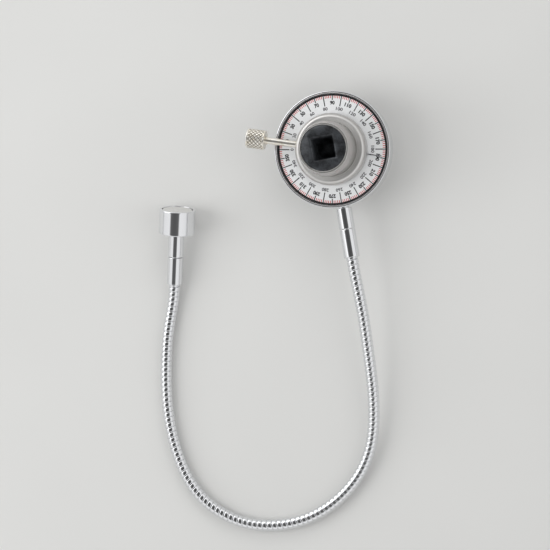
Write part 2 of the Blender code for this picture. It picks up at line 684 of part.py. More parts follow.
def make_magnet(chrome, magnet_face, axis, start):
    """The pot magnet: a chromed cup with a thick back, and the magnet set a little below its rim.

    The axis empty's X runs from the arm's end towards the pole face.
    """
    front = start + MAGNET_LENGTH
    floor = start + MAGNET_BACK
    hole = HEAD_SPIGOT_RADIUS + FIT
    cup = [
        (hole, start),
        (MAGNET_RADIUS - MAGNET_EDGE, start),
        (MAGNET_RADIUS, start + MAGNET_EDGE),
        (MAGNET_RADIUS, front - MAGNET_EDGE),
        (MAGNET_RADIUS - MAGNET_EDGE, front),
        (MAGNET_BORE, front),
        (MAGNET_BORE, floor),
        (hole, floor),
    ]
    add_mesh("magnet_cup", turned(cup, HUB_SIDES, along_x=True), chrome, parent=axis)
    radius = MAGNET_BORE - FIT
    face = front - MAGNET_RECESS
    disc = [(0.0, floor + FIT), (radius, floor + FIT), (radius, face), (0.0, face)]
    add_mesh("magnet_disc", turned(disc, HUB_SIDES, along_x=True), magnet_face, parent=axis)


def neck_curve(points):
    """A natural cubic spline through the route, as close points and the arm's length up to each."""
    route = np.array([list(point) for point in points])
    knots = np.concatenate(([0.0], np.cumsum(np.linalg.norm(np.diff(route, axis=0), axis=1))))
    count = len(knots)
    span = np.diff(knots)
    system = np.eye(count)
    slope = np.zeros((count, 3))
    for i in range(1, count - 1):
        system[i, i - 1 : i + 2] = (span[i - 1], 2.0 * (span[i - 1] + span[i]), span[i])
        slope[i] = 3.0 * ((route[i + 1] - route[i]) / span[i] - (route[i] - route[i - 1]) / span[i - 1])
    second = np.linalg.solve(system, slope)
    at = np.linspace(0.0, knots[-1], NECK_SAMPLES)
    k = np.clip(np.searchsorted(knots, at, side="right") - 1, 0, count - 2)
    t = (at - knots[k])[:, None]
    h = span[k][:, None]
    first = (route[k + 1] - route[k]) / h - h * (2.0 * second[k] + second[k + 1]) / 3.0
    third = (second[k + 1] - second[k]) / (3.0 * h)
    line = route[k] + first * t + second[k] * t**2 + third * t**3
    length = np.concatenate(([0.0], np.cumsum(np.linalg.norm(np.diff(line, axis=0), axis=1))))
    return line, length


def neck_frames(line, length, stations):
    """Position, direction and two crosswise directions at each station, carried along without twist."""
    tangent = np.gradient(line, axis=0)
    tangent /= np.linalg.norm(tangent, axis=1)[:, None]
    frames = []
    side = Vector((0.0, 0.0, 1.0))
    for station in stations:
        place = Vector([float(np.interp(station, length, line[:, k])) for k in range(3)])
        ahead = Vector([float(np.interp(station, length, tangent[:, k])) for k in range(3)]).normalized()
        side = (side - ahead * side.dot(ahead)).normalized()
        frames.append((place, ahead, side, ahead.cross(side)))
    return frames


def neck_stations(first_ring, last_ring, pitch, open_start, open_end):
    """Radius and distance of each section of one length of the arm: a wide band and a groove for each ring.

    An end at a bending joint is a blunt cone, so that the next length can swing without touching it.
    """
    slope = math.tan(NECK_JOINT_RANGE / 2.0)
    gap = NECK_JOINT_GAP / 2.0
    groove = (1.0 - NECK_BAND) / 2.0
    cone = [(NECK_JOINT_TIP, gap), (NECK_VALLEY_RADIUS, gap + NECK_VALLEY_RADIUS * slope)]
    band_start = max(groove * pitch, gap + NECK_RADIUS * slope + NECK_BAND_ROOM)
    rows = []
    for ring in range(first_ring, last_ring):
        base = ring * pitch
        low = groove * pitch
        high = (1.0 - groove) * pitch
        if ring == first_ring and open_start:
            rows += [(r, base + d) for r, d in cone]
            low = band_start
        else:
            rows.append((NECK_VALLEY_RADIUS, base))
        if ring == last_ring - 1 and open_end:
            high = pitch - band_start
        rows += [(NECK_RADIUS, base + low), (NECK_RADIUS, base + high)]
    end = last_ring * pitch
    if open_end:
        rows += [(r, end - d) for r, d in reversed(cone)]
    else:
        rows.append((NECK_VALLEY_RADIUS, end))
    return rows


def make_gooseneck(chrome, start, mouth, magnet_mouth, magnet_ahead):
    """The flexible arm in equal lengths. Each starts at the joint about which it bends on the one before."""
    seat = FERRULE_SOCKET_DEPTH - FIT
    arm_ahead = (mouth - start).normalized()
    route = [
        start + arm_ahead * FIT,
        mouth,
        mouth + arm_ahead * NECK_STRAIGHT,
        *NECK_ROUTE,
        magnet_mouth - magnet_ahead * NECK_STRAIGHT,
        magnet_mouth,
        magnet_mouth + magnet_ahead * seat,
    ]
    line, length = neck_curve(route)
    rings = round(length[-1] / NECK_PITCH)
    pitch = length[-1] / rings
    cuts = [round(rings * k / NECK_LENGTHS) for k in range(NECK_LENGTHS + 1)]
    joints = neck_frames(line, length, [cut * pitch for cut in cuts])
    parent, parent_place = None, Vector()
    for number in range(NECK_LENGTHS):
        rows = neck_stations(cuts[number], cuts[number + 1], pitch, number > 0, number < NECK_LENGTHS - 1)
        frames = neck_frames(line, length, [distance for _, distance in rows])
        origin = joints[number][0]
        sections = []
        for (radius, _), (place, _, side, across) in zip(rows, frames):
            section = []
            for i in range(NECK_SIDES):
                angle = TURN * i / NECK_SIDES
                section.append(place - origin + (side * math.cos(angle) + across * math.sin(angle)) * radius)
            sections.append(section)
        piece = add_mesh(f"gooseneck_{number}", skinned(sections), chrome, parent, origin - parent_place)
        parent, parent_place = piece, origin


def build():
    clear_scene()
    chrome = finish("polished_chrome", "D8D9DB", 1.0, 0.12)
    steel = finish("satin_nickel", "B9B6B0", 1.0, 0.34)
    nickel = finish("warm_nickel", "D6CDB8", 1.0, 0.28)
    dark = finish("black_phosphate", "1B1C1E", 0.6, 0.45)
    silver = finish("silver_dial", "D9DADC", 0.3, 0.4)
    bronze = finish("bearing_bronze", "B08D57", 1.0, 0.4)
    spring_steel = finish("spring_steel", "6E7074", 1.0, 0.35)
    magnet_face = finish("magnet_nickel", "C6C7C9", 1.0, 0.25)

    make_housing(chrome)
    make_dial_and_bush(silver, bronze)

    hub = add_axis("hub_axis", (0.0, 0.0, 0.0), (0.0, 0.0, 0.0))
    square = add_axis("square_axis", (0.0, 0.0, 0.0), (0.0, 0.0, SQUARE_TURN), hub)
    make_drive(dark, square)
    make_detent(magnet_face, spring_steel, square)
    make_rings(spring_steel, hub)
    make_sleeve(steel, hub)

    pointer = add_axis("pointer_axis", (0.0, 0.0, 0.0), (0.0, 0.0, 0.0), hub)
    make_collar(steel, pointer)
    make_pointer(magnet_face, pointer)
    screw_azimuth = POINTER_AZIMUTH + TURN / 2.0
    screw = add_axis("screw_axis", (0.0, 0.0, SCREW_HEIGHT), (0.0, 0.0, screw_azimuth), pointer)
    make_thumbscrew(nickel, screw)

    arm = add_axis("arm_axis", (0.0, 0.0, ARM_HEIGHT), (0.0, 0.0, ARM_AZIMUTH))
    stud_start = HOUSING_RADIUS + FIT
    make_stud("arm_stud", chrome, arm, stud_start, HEAD_STUD_LENGTH, HEAD_SPIGOT_RADIUS, HEAD_SPIGOT_LENGTH)
    ferrule_start = stud_start + HEAD_STUD_LENGTH + FIT
    make_ferrule("arm_ferrule", chrome, arm, ferrule_start)

    arm_ahead = Vector((math.cos(ARM_AZIMUTH), math.sin(ARM_AZIMUTH), 0.0))
    hub_point = Vector((0.0, 0.0, ARM_HEIGHT))
    mouth = hub_point + arm_ahead * (ferrule_start + FERRULE_LENGTH)
    socket_floor = mouth - arm_ahead * FERRULE_SOCKET_DEPTH
    across = Vector((math.cos(MAGNET_AZIMUTH), math.sin(MAGNET_AZIMUTH), 0.0))
    magnet_ahead = across * math.cos(MAGNET_RISE) + Vector((0.0, 0.0, math.sin(MAGNET_RISE)))
    make_gooseneck(chrome, socket_floor, mouth, MAGNET_MOUTH, magnet_ahead)

    stud_end = FERRULE_LENGTH + FIT
    cup_back = stud_end + MAGNET_STUD_LENGTH + FIT
    back_along = (0.0, TURN / 2.0 - MAGNET_RISE, MAGNET_AZIMUTH)
    end_axis = add_axis("magnet_back_axis", MAGNET_MOUTH + magnet_ahead * cup_back, back_along)
    make_stud("magnet_stud", chrome, end_axis, FIT, MAGNET_STUD_LENGTH, HEAD_SPIGOT_RADIUS, CUP_SPIGOT_LENGTH)
    make_ferrule("magnet_ferrule", chrome, end_axis, FIT + MAGNET_STUD_LENGTH + FIT)
    face_axis = add_axis("magnet_axis", MAGNET_MOUTH, (0.0, -MAGNET_RISE, MAGNET_AZIMUTH))
    make_magnet(chrome, magnet_face, face_axis, cup_back)


build()
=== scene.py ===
"""Looks of a half inch torque angle gauge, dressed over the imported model.

The hub stands on the origin with its axis along +Z. The arm leaves the head towards -Y, lies in a wide U on
the floor and ends in the magnet. Every piece is worked out in place, in metres, so its object stays at the
origin.
"""

import json
import math

import bmesh
import bpy
import numpy as np
from mathutils import Matrix, Vector


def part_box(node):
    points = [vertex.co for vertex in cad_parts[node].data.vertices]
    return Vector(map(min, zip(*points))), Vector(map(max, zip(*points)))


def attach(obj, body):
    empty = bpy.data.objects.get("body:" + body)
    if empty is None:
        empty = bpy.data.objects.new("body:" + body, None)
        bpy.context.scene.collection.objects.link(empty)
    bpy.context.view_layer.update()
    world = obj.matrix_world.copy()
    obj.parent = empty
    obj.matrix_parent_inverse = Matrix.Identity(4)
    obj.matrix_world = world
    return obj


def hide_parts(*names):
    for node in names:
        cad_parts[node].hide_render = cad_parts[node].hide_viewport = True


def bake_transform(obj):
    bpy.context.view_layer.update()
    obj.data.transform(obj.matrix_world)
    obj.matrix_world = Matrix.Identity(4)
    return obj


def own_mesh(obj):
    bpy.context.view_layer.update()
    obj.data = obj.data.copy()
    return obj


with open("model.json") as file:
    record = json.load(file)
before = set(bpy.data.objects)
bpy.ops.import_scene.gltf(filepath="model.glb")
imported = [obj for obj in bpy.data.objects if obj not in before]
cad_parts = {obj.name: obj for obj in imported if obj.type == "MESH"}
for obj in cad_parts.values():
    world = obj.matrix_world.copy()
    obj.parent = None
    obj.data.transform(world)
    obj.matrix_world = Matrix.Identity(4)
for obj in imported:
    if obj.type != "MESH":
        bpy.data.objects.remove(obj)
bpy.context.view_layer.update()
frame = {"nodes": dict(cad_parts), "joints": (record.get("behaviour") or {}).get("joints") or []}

MM = 0.001
TURN = 2.0 * math.pi

# Heights and radii that the frame gives
HOUSING_LOW, HOUSING_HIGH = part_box("dial_housing")
DIAL_LOW, DIAL_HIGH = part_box("dial_plate")
COLLAR_LOW, COLLAR_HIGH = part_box("pointer_collar")
SLEEVE_LOW, SLEEVE_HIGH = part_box("hub_sleeve")
NEEDLE_LOW, NEEDLE_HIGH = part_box("pointer_needle")
HOUSING_RADIUS = HOUSING_HIGH[0]
HOUSING_BOTTOM = HOUSING_LOW[2]
RIM_TOP = HOUSING_HIGH[2]
DIAL_TOP = DIAL_HIGH[2]
DIAL_BOTTOM = DIAL_LOW[2]
DIAL_RADIUS = DIAL_HIGH[0]
COLLAR_BOTTOM = COLLAR_LOW[2]
COLLAR_RADIUS = COLLAR_HIGH[0]
SLEEVE_BOTTOM = SLEEVE_LOW[2]
HUB_TOP = SLEEVE_HIGH[2]
SLEEVE_RADIUS = SLEEVE_HIGH[0]

FLANGE_HEIGHT = 8.6 * MM
COLLAR_TOP = COLLAR_BOTTOM + FLANGE_HEIGHT
BOSS_TOP = COLLAR_HIGH[2]

# Sizes that the frame's boxes don't show. A seam is where a ring's profile starts, on a straight wall
FIT = 0.3 * MM
HOUSING_BORE = 16.5 * MM
HOUSING_BORE_SEAM = HOUSING_BOTTOM + 4.0 * MM
HOUSING_FLOOR = DIAL_BOTTOM - FIT
HOUSING_EDGE = 0.8 * MM
RIM_WALL = 1.5 * MM
RIM_CROWN = 0.7 * MM
RELIEF_INNER = 19.5 * MM
RELIEF_OUTER = 31.0 * MM
RELIEF_DEPTH = 1.5 * MM
RELIEF_EDGE = 0.25 * MM
DIAL_BORE = 18.1 * MM
COLLAR_BORE = 14.45 * MM
COLLAR_ROOM = 17.2 * MM
COLLAR_ROOM_TOP = 32.3 * MM
COLLAR_FLAT = 18.8 * MM
COLLAR_SHOULDER = 4.0 * MM
BOSS_RADIUS = 16.2 * MM
BOSS_CONE = 6.9 * MM
BOSS_CONE_ROUND = 1.4 * MM
BOSS_EDGE = 0.35 * MM
FOOT_GROOVE_WIDTH = 0.6 * MM
FOOT_GROOVE_DEPTH = 0.6 * MM
FOOT_GROOVE_EDGE = 0.12 * MM
SHOULDER_STEPS = 17
SLEEVE_BORE = 12.9 * MM
SLEEVE_GROOVE = 13.6 * MM
SLEEVE_GROOVE_LOW = 30.75 * MM
SLEEVE_GROOVE_HIGH = 32.0 * MM
SLEEVE_COUNTERBORE = 13.75 * MM
SLEEVE_STEP = HUB_TOP - 1.9 * MM
SLEEVE_BORE_SEAM = 50.0 * MM
SLEEVE_LIP_EDGE = 0.08 * MM
SLEEVE_EDGE = 0.25 * MM
POINTER_AZIMUTH = math.radians(-7.9)
NEEDLE_START = 19.3 * MM
NEEDLE_ROOT = 21.5 * MM
NEEDLE_TIP = 30.2 * MM
NEEDLE_ROOT_WIDTH = 1.1 * MM
NEEDLE_TIP_WIDTH = 0.75 * MM
NEEDLE_SQUARENESS = 0.6
NEEDLE_STEPS = 24
NEEDLE_AROUND = 24
NEEDLE_SLOT_HALF = 0.7 * MM
NEEDLE_SLOT_START = 19.0 * MM
NEEDLE_SLOT_END = 22.5 * MM
SCREW_AZIMUTH = POINTER_AZIMUTH + TURN / 2.0
SCREW_HEIGHT = 36.4 * MM
SCREW_HOLE_LENGTH = 14.0 * MM
ROD_RADIUS = 2.0 * MM
ROD_TIP = 14.5 * MM
ROD_POINT = 0.5 * MM
ROD_END = 42.9 * MM
KNOB_RADIUS = 5.75 * MM
KNOB_START = 39.9 * MM
KNOB_END = 51.0 * MM
KNOB_EDGE = 0.7 * MM
KNOB_ROUND = 0.4 * MM
KNOB_DIMPLE_RADIUS = 1.6 * MM
KNOB_DIMPLE_DEPTH = 0.5 * MM
ARM_AZIMUTH = math.radians(-80.4)
ARM_HEIGHT = 25.2 * MM
STUD_RADIUS = 4.75 * MM
STUD_EDGE = 0.35 * MM
STUD_THREAD_RADIUS = 3.0 * MM
HEAD_THREAD_LENGTH = 8.0 * MM
MAGNET_THREAD_LENGTH = 3.5 * MM
SPIGOT_RADIUS = 2.6 * MM
SPIGOT_LENGTH = 4.6 * MM
FERRULE_LENGTH = 17.0 * MM
FERRULE_MOUTH_ROUND = 0.5 * MM
FERRULE_SOCKET_RADIUS = 3.95 * MM
FERRULE_SOCKET_DEPTH = 8.0 * MM
HEAD_STUD_START = HOUSING_RADIUS + FIT
HEAD_STUD_LENGTH = 12.7 * MM
MAGNET_STUD_LENGTH = 14.1 * MM
MAGNET_MOUTH = Vector((-102.5, -80.8, 6.1)) * MM
MAGNET_AZIMUTH = math.radians(84.9)
MAGNET_RISE = math.radians(11.5)
MAGNET_RADIUS = 11.0 * MM
MAGNET_LENGTH = 15.0 * MM
MAGNET_EDGE = 0.6 * MM
MAGNET_BORE = 9.4 * MM
MAGNET_FLOOR = 4.0 * MM
MAGNET_HOLE = 3.3 * MM
MAGNET_HOLE_SEAM = 2.0 * MM

# The knurl, drawn coarser than the true pitch of about 1.8 mm, so that its diamonds show in a whole view
KNURL_DEPTH = 0.4 * MM
KNURL_AROUND = 15
KNURL_PITCH = 2.4 * MM
KNURL_FLAT = 2.1
KNURL_FADE = 0.5 * MM
KNURL_ROWS = 90
KNURL_SIDES = 12 * KNURL_AROUND
KNURL_ATTRIBUTE = "knurl_depth"
DEEPEST_WALL = 1.5

# Rounding of edges that several pieces share, from crisp to soft
CRISP = 0.05 * MM
KEEN = 0.1 * MM
BROKEN = 0.15 * MM
EASED = 0.2 * MM
SOFT = 0.3 * MM

# The flexible arm: a strip wound into a tube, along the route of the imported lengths
NECK_RADIUS = 3.6 * MM
NECK_VALLEY = 2.95 * MM
NECK_PITCH = 3.1 * MM
NECK_LENGTHS = 9
NECK_STRAIGHT = 5.0 * MM
NECK_SAMPLES = 4000
NECK_AROUND = 40
NECK_STEPS = 24
NECK_SEAM = 0.04 * MM
NECK_SEAM_PLACE = 0.66
NECK_SEAM_WIDTH = 0.05
NECK_CROWN_POWER = 5.0
NECK_ROUTE = [
    (16.9, -98.0, 22.2),
    (19.3, -119.0, 18.2),
    (21.2, -140.0, 13.8),
    (21.5, -161.0, 9.8),
    (19.0, -178.5, 6.8),
    (12.3, -194.5, 4.8),
    (2.6, -207.0, 3.9),
    (-11.0, -218.0, 3.7),
    (-27.0, -225.0, 3.7),
    (-43.0, -227.4, 3.7),
    (-59.0, -226.0, 3.7),
    (-74.0, -220.0, 3.7),
    (-86.0, -211.0, 3.7),
    (-94.7, -199.4, 3.7),
    (-100.5, -186.5, 3.7),
    (-104.5, -173.0, 3.7),
    (-107.7, -152.0, 3.7),
    (-108.2, -131.0, 3.7),
    (-106.8, -110.0, 3.9),
]

# The printed scale: zero on the left, numbers clockwise, their tops outwards
ZERO_AZIMUTH = math.radians(180.0)
INK = 0.02 * MM
TICK_OUTER = 32.1 * MM
RED_TICK_INNER = 30.5 * MM
SHORT_TICK_INNER = 29.4 * MM
LONG_TICK_INNER = 26.0 * MM
RED_TICK_WIDTH = 0.42 * MM
BLACK_TICK_WIDTH = 0.58 * MM
DIAL_EDGE = 0.05 * MM
# The border band is partly a printed line and partly painted shade of the rim's inner wall, hence its width.
BORDER_INNER = 32.0 * MM

# The two rings of numbers: radius, height, width for each digit, and how much the strokes are thickened
OUTER_NUMBERS = (27.8 * MM, 2.4 * MM, 1.4 * MM, 0.05)
INNER_NUMBERS = (24.4 * MM, 2.0 * MM, 1.4 * MM, 0.03)

# The studio that metal mirrors: pale walls up to a dark ceiling, by the cosine to the ceiling's middle, and a
# soft window that brightens from the first to the last cosine to its own middle
CEILING_DIRECTION = (-0.03, 0.056, 0.998)
CEILING_SHAPE = (1.0, 0.71, 1.0)
WALLS = [(0.0, "B4B4B4"), (0.25, "F2F2F2"), (0.79, "FAFAFA"), (0.85, "6A6A6A"), (1.0, "505050")]
WINDOW_DIRECTION = (-0.62, 0.52, 0.59)
WINDOW_FROM = 0.72
WINDOW_TO = 0.95
WINDOW_LIGHT = 2.4
SOFT_LIGHT = 0.55

# The soft boxes: name, place, width and length in metres, and power in watts, all turned to one target
LAMP_TARGET = (-0.03, -0.08, 0.0)
LAMPS = [
    ("left_box", (-0.95, -0.1, 0.75), (0.7, 1.3), 6.4),
    ("right_box", (1.0, -0.1, 0.75), (0.7, 1.3), 3.4),
    ("back_box", (-0.05, 1.1, 0.9), (1.3, 0.6), 3.2),
]

FLOOR_HALF = 4.0
FLOOR_CLOUD = 1.0 / 6.0

# The camera, whose lens and sensor are in millimetres
CAMERA_EYE = Vector((327.6, -54.0, 1800.0)) * MM
CAMERA_AIM = Vector((-37.057, -74.994, 20.0)) * MM
CAMERA_LENS = 197.68
CAMERA_SENSOR = 36.0
CAMERA_NEAR = 0.01

# How finely the round pieces are drawn, and from which angle an edge is shaded sharp
FINE = 192
MEDIUM = 128
SMALL = 96
BALL_SIDES = 64
BALL_ROWS = 33
SHARP = math.radians(40.0)
FACET_SHARP = math.radians(32.0)
MERGE = 0.0005 * MM

# How the profiles' corners are rounded: the least bend that counts as a corner, and how far beside an arc, as
# a share of what is left of the straight, the point stands that keeps the straight flat
LEAST_CORNER = 0.01
BESIDE_ARC = 0.4

# Spacing of the turned pieces' fine grooves
TURNING_SPACING = 0.5 * MM


def linear(colour):
    """An sRGB hex colour as linear red, green, blue and alpha."""
    channels = [int(colour[i : i + 2], 16) / 255.0 for i in (0, 2, 4)]
    return (*[c / 12.92 if c <= 0.04045 else ((c + 0.055) / 1.055) ** 2.4 for c in channels], 1.0)


def add_node(tree, kind, settings=None, values=None, links=None):
    """Adds a node with its settings, the values of its open sockets, and links from other nodes' outputs."""
    node = tree.nodes.new(kind)
    for key, value in (settings or {}).items():
        setattr(node, key, value)
    for key, value in (values or {}).items():
        node.inputs[key].default_value = value
    for key, output in (links or {}).items():
        tree.links.new(output, node.inputs[key])
    return node


def new_finish(name, colour, metallic, roughness):
    """An empty Principled finish and its node tree."""
    finish = bpy.data.materials.new(name)
    finish.use_nodes = True
    tree = finish.node_tree
    shader = tree.nodes["Principled BSDF"]
    shader.inputs["Base Color"].default_value = linear(colour)
    shader.inputs["Metallic"].default_value = metallic
    shader.inputs["Roughness"].default_value = roughness
    finish.diffuse_color = linear(colour)
    return finish, tree, shader


def colour_ramp(tree, value, stops):
    """The colour that a ramp of (place, hex colour) stops gives at a value."""
    ramp = add_node(tree, "ShaderNodeValToRGB", links={"Fac": value})
    elements = ramp.color_ramp.elements
    while len(elements) < len(stops):
        elements.new(1.0)
    for element, (place, colour) in zip(elements, stops):
        element.position = place
        element.color = linear(colour)
    return ramp.outputs["Color"]


def noise(tree, size, detail=2.0, roughness=0.5):
    """Noise in the object's own space, with patches of about a size."""
    place = add_node(tree, "ShaderNodeTexCoord")
    values = {"Scale": 1.0 / size, "Detail": detail, "Roughness": roughness}
    links = {"Vector": place.outputs["Object"]}
    return add_node(tree, "ShaderNodeTexNoise", values=values, links=links).outputs["Fac"]


def tinted(tree, shader, value, stops):
    """Colours a finish by a ramp of (place, hex colour) stops over a value."""
    tree.links.new(colour_ramp(tree, value, stops), shader.inputs["Base Color"])


def glossed(tree, shader, value, between, roughness):
    """Varies a finish's roughness from one number to another as a value goes between two others."""
    values = dict(zip(("From Min", "From Max", "To Min", "To Max"), (*between, *roughness)))
    spread = add_node(tree, "ShaderNodeMapRange", values=values, links={"Value": value})
    tree.links.new(spread.outputs["Result"], shader.inputs["Roughness"])


def bumped(tree, shader, value, strength, distance):
    """Shades a finish as if a value raised its surface by up to a distance."""
    values = {"Strength": strength, "Distance": distance}
    bump = add_node(tree, "ShaderNodeBump", values=values, links={"Height": value})
    tree.links.new(bump.outputs["Normal"], shader.inputs["Normal"])


def polished_chrome():
    """Decorative chromium plate on polished steel: a mirror with a slight haze and a trace of orange peel."""
    finish, tree, shader = new_finish("polished_chrome", "E6E7E9", 1.0, 0.08)
    haze = noise(tree, size=7.0 * MM, detail=4.0, roughness=0.6)
    glossed(tree, shader, haze, between=(0.35, 0.7), roughness=(0.05, 0.13))
    bumped(tree, shader, noise(tree, size=0.9 * MM), strength=0.12, distance=0.01 * MM)
    return finish


def satin_turned_steel():
    """Nickel on turned steel: fine grooves round the axis, which spread the gloss into a soft satin.

    The grooves follow the distance from the hub's axis plus the height, so they ring flat faces and walls
    alike. Their true spacing of about 0.15 mm is too fine to show, so they are drawn wider, and the finest of
    them only spread the gloss across their run, which draws light streaks out from the axis.
    """
    colour, roughness = "E4E3E1", 0.44
    finish, tree, shader = new_finish("satin_turned_steel", colour, 1.0, roughness)
    shader.inputs["Anisotropic"].default_value = 0.8
    round_axis = add_node(tree, "ShaderNodeTangent", {"direction_type": "RADIAL", "axis": "Z"})
    tree.links.new(round_axis.outputs["Tangent"], shader.inputs["Tangent"])
    place = add_node(tree, "ShaderNodeTexCoord").outputs["Object"]
    flat = add_node(tree, "ShaderNodeVectorMath", {"operation": "MULTIPLY"}, {1: (1.0, 1.0, 0.0)}, {0: place})
    away = add_node(tree, "ShaderNodeVectorMath", {"operation": "LENGTH"}, links={0: flat.outputs[0]})
    split = add_node(tree, "ShaderNodeSeparateXYZ", links={0: place})
    parts = {0: away.outputs["Value"], 1: split.outputs["Z"]}
    run = add_node(tree, "ShaderNodeMath", {"operation": "ADD"}, links=parts)
    rings = add_node(
        tree,
        "ShaderNodeTexNoise",
        {"noise_dimensions": "1D"},
        {"Scale": 1.0 / TURNING_SPACING, "Detail": 3.0, "Roughness": 0.7},
        {"W": run.outputs["Value"]},
    ).outputs["Fac"]
    tinted(tree, shader, rings, [(0.3, "D0CECB"), (0.65, colour)])
    glossed(tree, shader, rings, between=(0.3, 0.7), roughness=(roughness + 0.08, roughness - 0.05))
    bumped(tree, shader, rings, strength=0.3, distance=0.02 * MM)
    return finish


def warm_nickel():
    """Dull nickel over brass on the thumbscrew: slightly yellow, with painted shade that darkens the knurl's
    grooves.

    The knob's own attribute says how deep each point lies in a groove. The rod has none, and so no painted
    shade.
    """
    finish, tree, shader = new_finish("warm_nickel", "F0ECE2", 1.0, 0.32)
    tarnish = noise(tree, size=2.5 * MM, detail=5.0, roughness=0.65)
    bare_tone = colour_ramp(tree, tarnish, [(0.3, "E6DECB"), (0.55, "F8F5EE")])
    # Painted shade: the deeper a point lies in a knurl groove, the more its colour is mixed towards dark
    # brown.
    groove = add_node(tree, "ShaderNodeAttribute", {"attribute_name": KNURL_ATTRIBUTE})
    groove_shaded = add_node(
        tree,
        "ShaderNodeMix",
        {"data_type": "RGBA"},
        {"B": linear("5C5039")},
        {"Factor": groove.outputs["Fac"], "A": bare_tone},
    )
    tree.links.new(groove_shaded.outputs["Result"], shader.inputs["Base Color"])
    glossed(tree, shader, tarnish, between=(0.3, 0.7), roughness=(0.36, 0.28))
    return finish


def black_phosphate():
    """Oiled manganese phosphate on the forged drive: near black, finely grained, with a low patchy sheen."""
    finish, tree, shader = new_finish("black_phosphate", "202225", 0.35, 0.42)
    patches = noise(tree, size=5.0 * MM, detail=6.0, roughness=0.65)
    tinted(tree, shader, patches, [(0.36, "17181A"), (0.62, "46494D")])
    glossed(tree, shader, patches, between=(0.3, 0.7), roughness=(0.55, 0.34))
    bumped(tree, shader, noise(tree, size=0.35 * MM, detail=3.0), strength=0.35, distance=0.03 * MM)
    return finish


def silver_face():
    """Satin anodised aluminium dial: silver white, with a fine grain that softens what it mirrors."""
    finish, tree, shader = new_finish("silver_face", "ECEDEE", 0.06, 0.36)
    grain = noise(tree, size=0.5 * MM, detail=4.0, roughness=0.7)
    tinted(tree, shader, grain, [(0.3, "E8E9EA"), (0.7, "F4F5F6")])
    bumped(tree, shader, grain, strength=0.25, distance=0.01 * MM)
    return finish


def scale_ink(name, colour, pale):
    """Screen-printed enamel ink: a thin satin film, a little uneven where the metal shows through."""
    finish, tree, shader = new_finish(name, colour, 0.0, 0.38)
    cover = noise(tree, size=0.8 * MM, detail=4.0, roughness=0.7)
    tinted(tree, shader, cover, [(0.5, colour), (0.85, pale)])
    return finish


def spring_steel():
    """Tempered strip and wire with a dark oxide skin, blotched from the oil it was quenched in."""
    finish, tree, shader = new_finish("spring_steel", "5C5F64", 1.0, 0.36)
    tinted(tree, shader, noise(tree, size=3.0 * MM, detail=5.0), [(0.35, "474A50"), (0.65, "72757A")])
    return finish


def bearing_bronze():
    """Sintered bronze, oiled: brown yellow, with fine dark pores."""
    finish, tree, shader = new_finish("bearing_bronze", "B08D57", 1.0, 0.4)
    place = add_node(tree, "ShaderNodeTexCoord")
    pores = add_node(
        tree,
        "ShaderNodeTexVoronoi",
        values={"Scale": 1.0 / (0.6 * MM)},
        links={"Vector": place.outputs["Object"]},
    )
    tinted(tree, shader, pores.outputs["Distance"], [(0.05, "6E5430"), (0.3, "B8945C")])
    return finish


def bright_nickel():
    """Bright nickel plate, on the magnet's pole face and the detent ball: a softer mirror than chrome."""
    finish, tree, shader = new_finish("bright_nickel", "E4E3E1", 1.0, 0.2)
    haze = noise(tree, size=2.0 * MM, detail=5.0, roughness=0.6)
    glossed(tree, shader, haze, between=(0.35, 0.7), roughness=(0.14, 0.28))
    return finish


def rounded(corners, steps=5):
    """A profile of (radius, height, fillet) corners, each replaced by an arc that touches both its straights.

    The arc's tangent length is the fillet over tan(half the corner's angle). A point on each side of an arc,
    within the straight part that is left, keeps that part flat when the surface is shaded smooth. A fillet of
    0 leaves the corner as it is.
    """
    places = np.array([corner[:2] for corner in corners], float)
    fillets = np.array([corner[2] for corner in corners], float)
    runs = np.diff(places, axis=0)
    lengths = np.linalg.norm(runs, axis=1)
    runs = runs / lengths[:, None]
    cosines = np.clip(-(runs[:-1] * runs[1:]).sum(axis=1), -1.0, 1.0)
    halves = np.concatenate(([TURN / 4.0], np.arccos(cosines) / 2.0, [TURN / 4.0]))
    fillets[halves > TURN / 4.0 - LEAST_CORNER] = 0.0
    tangents = fillets / np.tan(halves)
    left = lengths - tangents[:-1] - tangents[1:]
    out = [places[0]]
    for i in range(1, len(corners) - 1):
        if fillets[i] == 0.0:
            out.append(places[i])
            continue
        back, ahead = -runs[i - 1], runs[i]
        middle = back + ahead
        centre = places[i] + middle / np.linalg.norm(middle) * fillets[i] / math.sin(halves[i])
        first, last = places[i] + back * tangents[i], places[i] + ahead * tangents[i]
        start = math.atan2(*(first - centre)[::-1])
        sweep = (math.atan2(*(last - centre)[::-1]) - start + TURN / 2.0) % TURN - TURN / 2.0
        angles = start + sweep * np.linspace(0.0, 1.0, steps + 1)
        out.append(first + back * BESIDE_ARC * min(fillets[i], left[i - 1]))
        out.extend(centre + fillets[i] * np.stack((np.cos(angles), np.sin(angles)), axis=1))
        out.append(last + ahead * BESIDE_ARC * min(fillets[i], left[i]))
    out.append(places[-1])
    return np.array(out)


def turned(profile, sides):
    """The grid of a profile spun about Z: (r cos a, r sin a, h) for each profile point and each angle a."""
    angles = TURN * np.arange(sides) / sides
    radius, height = profile[:, :1], profile[:, 1:2]
    return np.stack((radius * np.cos(angles), radius * np.sin(angles), height + np.zeros(sides)), axis=2)


def level(azimuth):
    """The level direction at an azimuth."""
    return Vector((math.cos(azimuth), math.sin(azimuth), 0.0))


def coordinates(vertices):
    """The places of a mesh's vertices, one to a row."""
    places = np.zeros(len(vertices) * 3)
    vertices.foreach_get("co", places)
    return places.reshape(-1, 3)


def along(origin, ahead):
    """The matrix that lays a piece turned about Z along a direction, from an origin, with its side level."""
    ahead = Vector(ahead).normalized()
    side = Vector((0.0, 0.0, 1.0)).cross(ahead).normalized()
    up = ahead.cross(side)
    matrix = Matrix((side, up, ahead)).transposed().to_4x4()
    matrix.translation = origin
    return matrix


def placed(grid, matrix):
    """A grid of points moved by a matrix."""
    matrix = np.array(matrix)
    return grid @ matrix[:3, :3].T + matrix[:3, 3]


